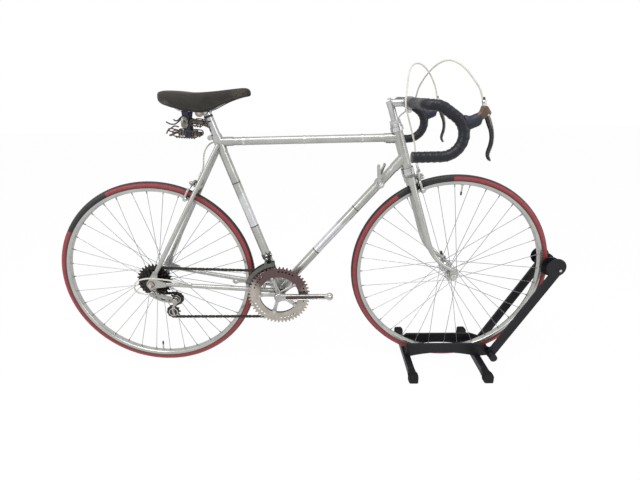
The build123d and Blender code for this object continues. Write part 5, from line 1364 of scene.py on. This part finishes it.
linkage = []
for y, heights in ((-0.0225, (0.120, 0.142)), (-0.0330, (0.114, 0.134))):
    bar = [on_seat(heights[0], 0.004), on_seat(sum(heights) / 2, 0.010), on_seat(heights[1], 0.006)]
    linkage.append(slab(ribbon(bar, [0.0060, 0.0070, 0.0055]), at([0, y, 0]), 0.0070, 0.0018))
piece("front_derailleur_linkage", linkage, oily_steel, "frame")
front_bolts = []
for height, ahead, y in (
    (0.132, 0.016, -0.008), (0.124, 0.005, -0.0262), (0.140, 0.006, -0.0262), (0.132, 0.005, -0.0367),
):
    front_bolts += bolt(beside(on_seat(height, ahead), y), -left, 0.0036, 0.0030)
piece("front_derailleur_bolts", front_bolts, chrome, "frame")

# ---- Shift levers ----------------------------------------------------------------------------
# Two alloy levers on a band round the down tube, each held by a wing screw: the right one stands
# nearly upright and the left one leans forward.

dress(brake_alloy, "satin_alloy", "shift_levers")
lever_parts, wing_parts = [], []
root = np.array([0.7558, 0.3107])
lever_boss_side, lever_side, screw_side, grip_side = 0.0218, 0.0262, 0.0286, 0.0325
boss = [(0.0, 0.0), (0.0108, 0.0), (0.0112, 0.0010), (0.0112, 0.0055), (0.0095, 0.0068), (0.0, 0.0070)]
screw = [(0.0, 0.0), (0.0055, 0.0), (0.0058, 0.0012), (0.0040, 0.0024), (0.0, 0.0026)]
grip = ribbon([(-0.0065, 0.0), (0.0, 0.0), (0.0065, 0.0)], [0.0024, 0.0014, 0.0024])
for sign, tip in ((-1, (0.749, 0.373)), (1, (0.776, 0.367))):
    tip = np.array(tip)
    run = tip - root
    bow = np.array([-run[1], run[0]]) * 0.06
    line = [root, root + run * 0.35 + bow, root + run * 0.7 + bow * 0.6, tip]
    outline = ribbon(line, [0.0068, 0.0040, 0.0046, 0.0050])
    lever_parts.append(slab(outline, at([0, sign * lever_side, 0]), 0.0044, 0.0016))
    lever_parts.append(turned(boss, beside(root, sign * lever_boss_side), left * sign, 32))
    wing_parts.append(turned(screw, beside(root, sign * screw_side), left * sign, 20))
    wing_parts.append(slab(grip, beside(root, sign * grip_side), 0.0042, 0.0008, 3))
piece("shift_lever_blades", lever_parts, brake_alloy, "frame")
piece("shift_lever_wings", wing_parts, chrome, "frame")

# ---- Cables ----------------------------------------------------------------------------------
# Cream plastic-covered housings of 5 mm over steel wire. The rear brake's passes from the bar to
# the frame beside the head tube; the real one bends there as the bar turns, but this one is fixed on no
# body. Held at both ends by stops.

housing_radius = 0.0025
wire_radius = 0.0008
housing_cream = finish(
    "housing_cream", (0.60, 0.58, 0.52), (0.52, 0.50, 0.44), 0.0, (0.3, 0.45), 60, (2200, 0.00004),
    Coat_Weight=0.1,
)[0]


def cable(name, route, radius, body, replaced, material=housing_cream):
    """A round tube on the smooth line whose control points are the route's points.

    Each ring keeps its neighbour's side direction, less the part of it that lies along the run.
    """
    curve = bpy.data.curves.new(name, "CURVE")
    curve.dimensions = "3D"
    curve.resolution_u = 9
    spline = curve.splines.new("NURBS")
    spline.points.add(len(route) - 1)
    spline.points.foreach_set("co", np.column_stack([at(route), np.ones(len(route))]).ravel())
    spline.order_u = 3
    spline.use_endpoint_u = True
    line_object = bpy.data.objects.new(name, curve)
    line = bpy.data.meshes.new_from_object(line_object)
    path = np.empty(len(line.vertices) * 3)
    line.vertices.foreach_get("co", path)
    path = path.reshape(-1, 3)
    bpy.data.objects.remove(line_object)
    bpy.data.curves.remove(curve)
    bpy.data.meshes.remove(line)
    runs = unit(np.gradient(path, axis=0))
    sides = [np.cross(runs[0], left)]
    for run in runs[1:]:
        sides.append(axis(*(sides[-1] - run * (sides[-1] @ run))))
    return piece(name, [pipe(path, radius, 12, np.array(sides))], material, body, replaced)


front_stop = (0.8699, -0.029, 0.3634)
front_route = [
    (0.984, 0.201, 0.562), (0.980, 0.198, 0.590), (0.962, 0.186, 0.630), (0.932, 0.162, 0.6655),
    (0.897, 0.126, 0.6825), (0.862, 0.082, 0.6725), (0.843, 0.034, 0.636), (0.831, -0.014, 0.595),
    (0.822, -0.037, 0.558), (0.832, -0.038, 0.520), (0.847, -0.034, 0.470), (0.859, -0.030, 0.430),
    (0.8605, -0.029, 0.3961), front_stop,
]
rear_route = [
    (0.984, -0.201, 0.562), (0.979, -0.198, 0.590), (0.963, -0.190, 0.616), (0.941, -0.170, 0.651),
    (0.913, -0.144, 0.672), (0.888, -0.110, 0.663), (0.870, -0.068, 0.634), (0.863, -0.020, 0.603),
    (0.867, 0.020, 0.577), (0.861, 0.038, 0.549), (0.842, 0.043, 0.533), (0.8154, 0.042, 0.5131),
    (0.822, 0.042, 0.490), (0.8278, 0.042, 0.4698), (0.812, 0.037, 0.451), (0.781, 0.027, 0.441),
    (0.735, 0.0142, 0.447), (0.560, 0.0142, 0.446), (0.330, 0.0142, 0.447), (0.290, 0.022, 0.449),
    (0.255, 0.033, 0.454), (0.221, 0.029, 0.452), (0.201, 0.024, 0.435), (0.189, 0.026, 0.408),
    (0.1852, 0.029, 0.3690), (0.1743, 0.029, 0.3499),
]
derailleur_route = [
    (0.118, -0.0576, -0.0054), (0.088, -0.066, 0.008), (0.042, -0.080, 0.025), (-0.004, -0.086, 0.033),
    (-0.040, -0.086, 0.022), (-0.050, -0.085, -0.004), (-0.040, -0.081, -0.025), (-0.0213, -0.0765, -0.028),
]
cable("front_brake_housing", front_route, housing_radius, "steering", ("front_brake_cable",))
rear_cables = ("rear_brake_cable_bar", "rear_brake_cable_frame")
rear_housing = cable("rear_brake_housing", rear_route, housing_radius, "", rear_cables)
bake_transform(rear_housing)
cable("derailleur_housing", derailleur_route, housing_radius, "frame", ("shift_cables",))
down_along = unit(head_join_low - bottom_bracket)
wire_side = 0.0154
clip_side = 0.0142
shift_wires = []
for sign in (1, -1):
    top = np.array([root[0], sign * wire_side, root[1]]) - down_along * 0.012
    low = bottom_bracket + down_along * 0.056 + (0, sign * wire_side, 0)
    shift_wires.append(pipe(at(np.linspace(top, low, 4)), wire_radius, 8))
piece("shift_wires", shift_wires, spoke_steel, "frame")
clip_eye = [(0.0026, -0.0035), (0.0034, -0.0035), (0.0034, 0.0035), (0.0026, 0.0035)]
clips = []
for x in (0.330, 0.520, 0.700):
    clips.append(flat_band(seat_cluster, head_join_top, (x, 0, 0.4555), 0.0127, 0.0035, 0.0009))
    clips.append(turned(clip_eye, at([x, clip_side, 0.4465]), forward, 18, loop=True))
piece("cable_clips", clips, chrome, "frame")
stop_tube = [(0.0, 0.0), (0.0040, 0.0), (0.0042, 0.0008), (0.0042, 0.0120), (0.0036, 0.0130), (0.0, 0.0130)]
stops = [
    turned(stop_tube, at([0.130, -0.0560, -0.0082]), axis(-0.90, -0.20, 0.30), 18),
    turned(stop_tube, at([0.1743, 0.029, 0.3499]), axis(stay_up[0], 0, stay_up[1]), 18),
]
piece("housing_end_caps", stops, chrome, "frame")
front_cap = turned(stop_tube, at(front_stop), steerer_way, 18)
piece("front_housing_end_cap", [front_cap], chrome, "steering")

# ---- Saddle ----------------------------------------------------------------------------------
# A firm racing saddle: thin padding under grey-black suede leather, pulled over a moulded shell and
# turned in below. Scuffed pale at the lower tail. It sits on two chromed rails.

saddle_leather, tree, shader = finish(
    "saddle_leather", (0.016, 0.0145, 0.012), (0.030, 0.027, 0.022), 0.0, (0.62, 0.82), 45, (1400, 0.00030),
    Sheen_Weight=0.06, Sheen_Roughness=0.5, Specular_IOR_Level=0.25,
)
place = node(tree, "TexCoord").outputs["Object"]
leather_tone = shader.inputs["Base Color"].links[0].from_socket
rubbed = leather_tone
for scuff_at, reach, tone in (
    ((0.123, -0.060, 0.573), 0.019, (0.17, 0.16, 0.13, 1)),
    ((0.123, 0.060, 0.573), 0.019, (0.12, 0.11, 0.09, 1)),
    ((0.330, -0.018, 0.600), 0.030, (0.075, 0.066, 0.052, 1)),
):
    streak = node(tree, "TexNoise", {"Vector": place, "Scale": 260.0, "Detail": 4.0}).outputs[0]
    near = nearness(tree, place, scuff_at, reach, reach * 0.2)
    sockets = {0: near, 1: step_up(tree, streak, 0.42, 0.60)}
    worn = node(tree, "Math", sockets, operation="MULTIPLY").outputs[0]
    rubbed = mixed(tree, worn, rubbed, tone)
tree.links.new(rubbed, shader.inputs["Base Color"])
half_section = [
    (0.0, 1.0), (0.30, 0.998), (0.58, 0.975), (0.80, 0.90), (0.94, 0.72), (1.0, 0.42), (0.99, 0.14),
    (0.93, 0.0), (0.86, 0.02), (0.80, 0.12), (0.40, 0.24), (0.0, 0.26),
]
saddle_stations = [
    (0.0880, 0.026, 0.6000, 0.5915), (0.0895, 0.056, 0.6050, 0.5880), (0.0955, 0.096, 0.6105, 0.5835),
    (0.112, 0.130, 0.6132, 0.5745), (0.135, 0.141, 0.6122, 0.5665), (0.158, 0.141, 0.6096, 0.5600),
    (0.185, 0.126, 0.6062, 0.5530), (0.212, 0.103, 0.6058, 0.5482), (0.236, 0.080, 0.6068, 0.5505),
    (0.262, 0.061, 0.6085, 0.5612), (0.290, 0.048, 0.6110, 0.5735), (0.318, 0.041, 0.6135, 0.5825),
    (0.338, 0.0370, 0.6148, 0.5875), (0.350, 0.034, 0.6138, 0.5895), (0.357, 0.027, 0.6100, 0.5915),
    (0.3608, 0.014, 0.6045, 0.5950),
]
around = smooth(half_section + [(-y, z) for y, z in half_section[-2:0:-1]] + half_section[:1], 4)[:-1]
# Each ring of the cover is the section stretched to its station's half width, and from its lowest
# height to its top.
stations = smooth(saddle_stations, 5)
rows = [
    np.stack([np.full(len(around), x), around[:, 0] * width / 2, low + around[:, 1] * (top - low)], 1)
    for x, width, top, low in stations
]
cover = [skin(at(np.array(rows)))]
saddle_cover = piece("saddle_cover", cover, saddle_leather, "frame", ("saddle",), sharp=75)

seam_lift = 0.16
seam_x, seam_width, seam_top, seam_low = stations[(stations[:, 0] > 0.10) & (stations[:, 0] < 0.345)].T
seam_thread = finish(
    "seam_thread", (0.02, 0.018, 0.016), (0.05, 0.046, 0.04), 0.0, (0.6, 0.8), 300, (2500, 0.0001)
)[0]
seams = []
for sign in (1, -1):
    line = np.stack([seam_x, sign * seam_width * 0.498, seam_low + seam_lift * (seam_top - seam_low)], 1)
    seams.append(pipe(at(line), 0.0009, 6, up))
piece("saddle_seam", seams, seam_thread, "frame")
rail_runs = []
for sign in (1, -1):
    rail = smooth(
        [
            (0.334, sign * 0.006, 0.603), (0.316, sign * 0.0085, 0.5925), (0.285, sign * 0.013, 0.578),
            (0.255, sign * 0.018, 0.5625), (0.236, sign * 0.021, 0.5550), (0.215, sign * 0.021, 0.5525),
            (0.160, sign * 0.021, 0.5535), (0.140, sign * 0.022, 0.5590), (0.127, sign * 0.026, 0.574),
            (0.120, sign * 0.031, 0.590),
        ],
        6,
    )
    rail_runs.append(pipe(at(rail), 0.0035, 12, up))
piece("saddle_rail_pair", rail_runs, chrome, "frame", ("saddle_rails",))

# ---- Seat post and clamp ---------------------------------------------------------------------
# A polished alloy post held by the seat lug. Its clamp grips the two rails between cream-stained
# washers on one cross bolt, and has a black top cap.

post_alloy = finish(
    "post_alloy", (0.56, 0.56, 0.56), (0.40, 0.40, 0.41), 1.0, (0.1, 0.26), 90, (1800, 0.00003),
    stretch=(1, 1, 0.15), Specular_Tint=(0.35, 0.35, 0.36, 1),
)[0]
dress(post_alloy, "polished_alloy", "seatpost")
stained_alloy = finish(
    "stained_alloy", (0.42, 0.34, 0.26), (0.24, 0.17, 0.12), 0.75, (0.3, 0.5), 220, (1500, 0.00008)
)[0]
clamp_at = np.array([0.208, 0.547])
washer_side, nut_side = 0.0285, 0.0322
lug_bolt_side = 0.0085
clamp_parts, clamp_bolts = [], []
washer = [
    (0.0, 0.0), (0.0125, 0.0), (0.0132, 0.0010), (0.0132, 0.0040), (0.0118, 0.0052), (0.0085, 0.0052),
    (0.0078, 0.0040), (0.0, 0.0040),
]
for sign in (1, -1):
    clamp_parts.append(turned(washer, beside(clamp_at, sign * washer_side), left * sign, 32))
    clamp_bolts += bolt(beside(clamp_at, sign * nut_side), left * sign, 0.0058, 0.0050)
piece("saddle_clamp_washers", clamp_parts, stained_alloy, "frame")
piece("saddle_clamp_nuts", clamp_bolts, chrome, "frame")
collar_foot, collar_top = (beside(on_seat(height), 0) for height in (0.618, 0.634))
collar = [(0.0, 0.0), (0.0138, 0.0), (0.0142, 0.0012), (0.0142, 0.0055), (0.0130, 0.0070), (0.0, 0.0070)]
piece(
    "seatpost_collar", [turned(collar, collar_foot, collar_top - collar_foot, 32)], oily_steel, "frame",
)
seat_lug_bolt = []
for sign in (1, -1):
    seat_lug_bolt += bolt(
        at(seat_cluster + (-0.0215, sign * lug_bolt_side, 0.012)), left * sign, 0.0045, 0.0040
    )
piece("seat_lug_bolt", seat_lug_bolt, chrome, "frame")

# ---- Strapped pedals -------------------------------------------------------------------------
# The bicycle's own quill pedals, taken off and hung under the saddle in one navy webbing strap:
# brown-black steel cages with open windows and teeth, silver barrels, and black threaded spindles.

strap_navy, tree, shader = finish(
    "strap_navy", (0.014, 0.014, 0.042), (0.022, 0.022, 0.060), 0.0, (0.6, 0.8), 120, (900, 0.0002),
    Sheen_Weight=0.3,
)
sockets = {"Vector": node(tree, "UVMap").outputs[0], "Scale": 160.0}
webbing = node(tree, "TexWave", sockets, bands_direction="X").outputs["Fac"]
ridges = node(tree, "Bump", {"Height": webbing, "Distance": 0.0005, "Strength": 0.7}).outputs[0]
tree.links.new(ridges, shader.inputs["Normal"])
cage_brown = finish(
    "cage_brown", (0.035, 0.026, 0.022), (0.085, 0.062, 0.050), 0.55, (0.35, 0.55), 260, (1600, 0.0001)
)[0]
barrel_alloy = finish(
    "barrel_alloy", (0.26, 0.25, 0.215), (0.10, 0.092, 0.072), 0.85, (0.25, 0.45), 180, (1600, 0.00006),
    Specular_Tint=(0.4, 0.4, 0.4, 1),
)[0]


def hoop(outline, band, middle_at, thickness, plane=side_plane):
    """A flat closed band: the outline and the same outline moved in by the band's width, at two faces."""
    outline = np.asarray(outline, float)
    x_axis, y_axis, out = (axis(*direction) for direction in plane)
    inside = outline + band * inward(outline)
    rows = [
        np.asarray(middle_at) + line[:, :1] * x_axis + line[:, 1:] * y_axis + face * thickness / 2 * out
        for line, face in ((outline, -1), (outline, 1), (inside, 1), (inside, -1))
    ]
    return skin(np.array(rows), loop=True)


pedal_half_width = 0.0265
tooth_height = 0.0034
tooth_spacing = 0.010
web_spacing = 0.021


def pedal(name, x, z, tilt, way, plate):
    """A quill pedal lying along the bicycle, its spindle toward `way`: 1 is forward and -1 back.

    Its side plates run from start to end along it, and to the half height above and below.
    """
    turn = np.radians(tilt)
    plane = ((np.cos(turn), 0, np.sin(turn)), (-np.sin(turn), 0, np.cos(turn)), (0, 1, 0))
    along, rise = axis(*plane[0]), axis(*plane[1])
    start, end, high = plate
    span = end - start
    near, far = start + 0.1 * span, end - 0.1 * span
    window = softened([
        (start, -high * 0.5), (near, -high), (far, -high), (end, -high * 0.5),
        (end, high * 0.5), (far, high * 0.9), (near, high * 0.9), (start, high * 0.5),
    ], 1)
    tooth_count = 2 * round(span / tooth_spacing) + 1
    tooth_x = np.linspace(start + 0.12 * span, end - 0.12 * span, tooth_count)
    teeth = np.stack([tooth_x, -high - tooth_height * (np.arange(tooth_count) % 2)], 1)
    back = [(tooth_x[-1], -high + 0.0028), (tooth_x[0], -high + 0.0028)]
    cages, barrels = [], []
    for sign in (1, -1):
        plate_at = at([x, sign * pedal_half_width, z])
        cages.append(hoop(window, 0.0032, plate_at, 0.0020, plane))
        cages.append(slab(np.concatenate([teeth, back]), plate_at, 0.0018, 0.0003, 2, plane))
        for web in np.linspace(start, end, round(span / web_spacing) + 1)[1:-1]:
            foot, head = -high * 0.9, high * 0.8
            post = [(web - 0.0017, foot), (web + 0.0017, foot), (web + 0.0030, head), (web - 0.0004, head)]
            cages.append(slab(post, plate_at, 0.0018, 0.0004, 2, plane))
    for x_end in (start + 0.001, end - 0.001):
        across = np.array([at([x, side, z]) + x_end * along for side in np.linspace(-0.026, 0.026, 6)])
        cages.append(pipe(across, 0.0024, 8, side=rise))
    far_end = start if way > 0 else end
    for lift, out in ((0.006, 0.017), (-0.007, 0.013)):
        bends = [(0, 0.6, 0.025), (0.7, 1, 0.023), (1, 1.5, 0.012), (1.02, 1.6, 0.0)]
        half_horn = [
            (far_end - share * out * way, lift * rise_share, -side)
            for share, rise_share, side in bends
        ]
        horn = smooth(half_horn + [(a, b, -side) for a, b, side in half_horn[-2::-1]], 5)
        line = at([x, 0, z]) + horn[:, :1] * along + horn[:, 1:2] * rise + horn[:, 2:] * left
        cages.append(pipe(line, 0.0020, 8, side=rise))
    profile = [
        (0.0, -0.030), (0.0070, -0.030), (0.0105, -0.0275), (0.0105, -0.020), (0.0082, -0.017),
        (0.0076, 0.0), (0.0086, 0.016), (0.0100, 0.020), (0.0100, 0.028), (0.0, 0.029),
    ]
    barrel_at = at([x, 0, z]) + along * (start + end) / 2
    barrels.append(turned(profile, barrel_at, along * way, 24))
    reach = np.linspace(0, 1, 25)
    thread = np.stack([0.0058 + 0.0005 * (np.arange(25) % 2), 0.030 + 0.014 * reach], 1)
    spindle = np.concatenate([[(0.0, 0.028), (0.0075, 0.028), (0.0075, 0.0300)], thread, [(0.0, 0.0445)]])
    cages.append(turned(spindle, barrel_at, along * way, 16))
    piece(name + "_cage", cages, cage_brown, "frame", ("strapped_pedals",))
    piece(name + "_barrel", barrels, barrel_alloy, "frame")


pedal("upper_pedal", 0.1850, 0.5185, -9, -1, (-0.010, 0.031, 0.0105))
pedal("lower_pedal", 0.1580, 0.4850, -5, 1, (-0.040, 0.040, 0.0120))
clamp_outline = softened(
    [
        (-0.010, -0.018), (0.009, -0.018), (0.0115, -0.004), (0.0095, 0.0165), (-0.005, 0.0185),
        (-0.0115, 0.004),
    ],
    1,
)
block_at = at([0.1585, -0.0255, 0.5195])
pedal_block = [slab(clamp_outline, block_at, 0.0052, 0.0016)]
pedal_block += bolt(block_at + (0, -0.0026, 0), -left, 0.0045, 0.0036, 12)
piece("pedal_clamp_block", pedal_block, barrel_alloy, "frame")
hooks = []
for line in (
    [
        (0.156, -0.024, 0.5385), (0.148, -0.026, 0.5330), (0.139, -0.027, 0.5255), (0.131, -0.027, 0.5250),
        (0.127, -0.027, 0.5290),
    ],
    [
        (0.152, -0.025, 0.5330), (0.142, -0.027, 0.5225), (0.130, -0.028, 0.5150), (0.116, -0.028, 0.5155),
        (0.104, -0.028, 0.5220),
    ],
    [
        (0.140, -0.026, 0.5060), (0.128, -0.027, 0.5090), (0.118, -0.028, 0.5040), (0.106, -0.028, 0.4960),
        (0.101, -0.028, 0.4870),
    ],
):
    hooks.append(pipe(at(smooth(line, 5)), 0.0021, 8, up))
piece("pedal_cage_hooks", hooks, cage_brown, "frame")
strap_line = smooth(
    [
        (0.0, 0.5566), (-0.019, 0.5566), (-0.0256, 0.5520), (-0.0240, 0.540), (-0.0225, 0.515),
        (-0.0225, 0.490), (-0.0205, 0.4760), (-0.012, 0.4700), (-0.002, 0.4695), (0.008, 0.4720),
        (0.0120, 0.480), (0.0120, 0.505), (0.0100, 0.525), (0.0180, 0.540), (0.0258, 0.5500),
        (0.0230, 0.5560), (0.0, 0.5566),
    ],
    5,
)[:-1]
strap_rows = hoop(strap_line, 0.0016, at([0.1620, 0, 0]), 0.0190, ((0, 1, 0), (0, 0, 1), (1, 0, 0)))
piece("pedal_strap", [strap_rows], strap_navy, "frame", ("saddle_strap",))

# ---- Floor stand -----------------------------------------------------------------------------
# A folding display stand that grips the front tyre: black powder-coated steel plates, tubes and
# discs, bolted at its pivots, on two square bars with soft black rubber caps.

powder_black = finish(
    "powder_black", (0.0035, 0.0038, 0.0052), (0.0075, 0.008, 0.0105), 0.0, (0.40, 0.55), 30,
    (1900, 0.00006), Specular_IOR_Level=0.28,
)[0]
cap_rubber = finish(
    "cap_rubber", (0.0045, 0.0045, 0.005), (0.010, 0.010, 0.011), 0.0, (0.6, 0.8), 90, (900, 0.0002),
    Specular_IOR_Level=0.22,
)[0]
dress(
    powder_black, "stand_black", "stand_cross_bars", "stand_rails", "stand_arms", "stand_bracket",
    "stand_bolts",
)
bar_height = 0.014
rib_half = 0.0154
cover_side, bracket_bolt_side, knob_side = 0.0490, 0.0530, -0.0640
foot_profile = [
    (0.0110, 0.096), (0.0125, 0.099), (0.0125, 0.112), (0.0146, 0.116), (0.0150, 0.120), (0.0150, 0.1395),
    (0.0140, 0.1415),
]
foot_corners = np.array([
    (1, 0.72), (0.72, 1), (-0.72, 1), (-1, 0.72), (-1, -0.80), (-0.80, -1), (0.80, -1), (1, -0.80),
])


def on_stand(x, y, z):
    """A place x ahead of the front axle, y left and z above the floor."""
    return np.array([front_axle[0] + x, y, z])




def foot_ring(bar_x, side, half, lowest):
    """A ring round a cross bar: its corners times the half size, with nothing under the lowest share."""
    x, z = foot_corners.T
    return on_stand(bar_x, side, bar_height) + half * np.stack([x, 0 * x, np.clip(z, lowest, 1)], 1)


foot_shapes, foot_ribs = [], []
for bar_x in (-0.131, 0.118):
    for sign in (1, -1):
        rings = [foot_ring(bar_x, sign * reach, half, -0.93) for half, reach in foot_profile]
        foot_shapes.append(skin(np.array(rings)))
        for reach in (0.1225, 0.1275, 0.1325):
            rib = foot_ring(bar_x, sign * reach, rib_half, -0.85)
            foot_ribs.append(pipe(rib, 0.0007, 6, left, loop=True))
piece("stand_foot_caps", foot_shapes + foot_ribs, cap_rubber, "steering", ("stand_feet",))

flange_line = [
    (-0.128, 0.0735), (0.110, 0.0735), (0.150, 0.058), (0.150, 0.056), (0.109, 0.0710), (-0.1275, 0.0710),
]
disc = [(0.0, 0.0), (0.0305, 0.0), (0.0315, 0.0010), (0.0315, 0.0030), (0.0300, 0.0042), (0.0, 0.0046)]
bracket_middle = on_stand(0.3355, 0, 0.3648)
flanges, cover_discs, bolt_heads = [], [], []
for sign in (1, -1):
    flanges.append(slab(flange_line, on_stand(0, sign * 0.0300, 0), 0.0072, 0.0006, 2))
    cover_discs.append(turned(disc, bracket_middle + (0.0, sign * cover_side, 0.010), left * sign, 56))
    bolt_heads += bolt(
        bracket_middle + (0.012, sign * bracket_bolt_side, 0.0007), left * sign, 0.0050, 0.0040
    )
piece("stand_rail_flanges", flanges, powder_black, "steering")
piece("stand_cover_discs", cover_discs, powder_black, "steering")
piece("stand_bolt_heads", bolt_heads, chrome, "steering")
pivot_at = on_stand(0.158, 0, 0.043)
lobes = full_turn(60)
lobe_reach = 0.0118 + 0.0012 * np.cos(5 * lobes)
outline = np.stack([lobe_reach * np.cos(lobes), lobe_reach * np.sin(lobes)], 1)
knob = slab(outline, pivot_at + (0, knob_side, 0), 0.0155, 0.0030, 5)
piece("stand_knob", [knob], cap_rubber, "steering")
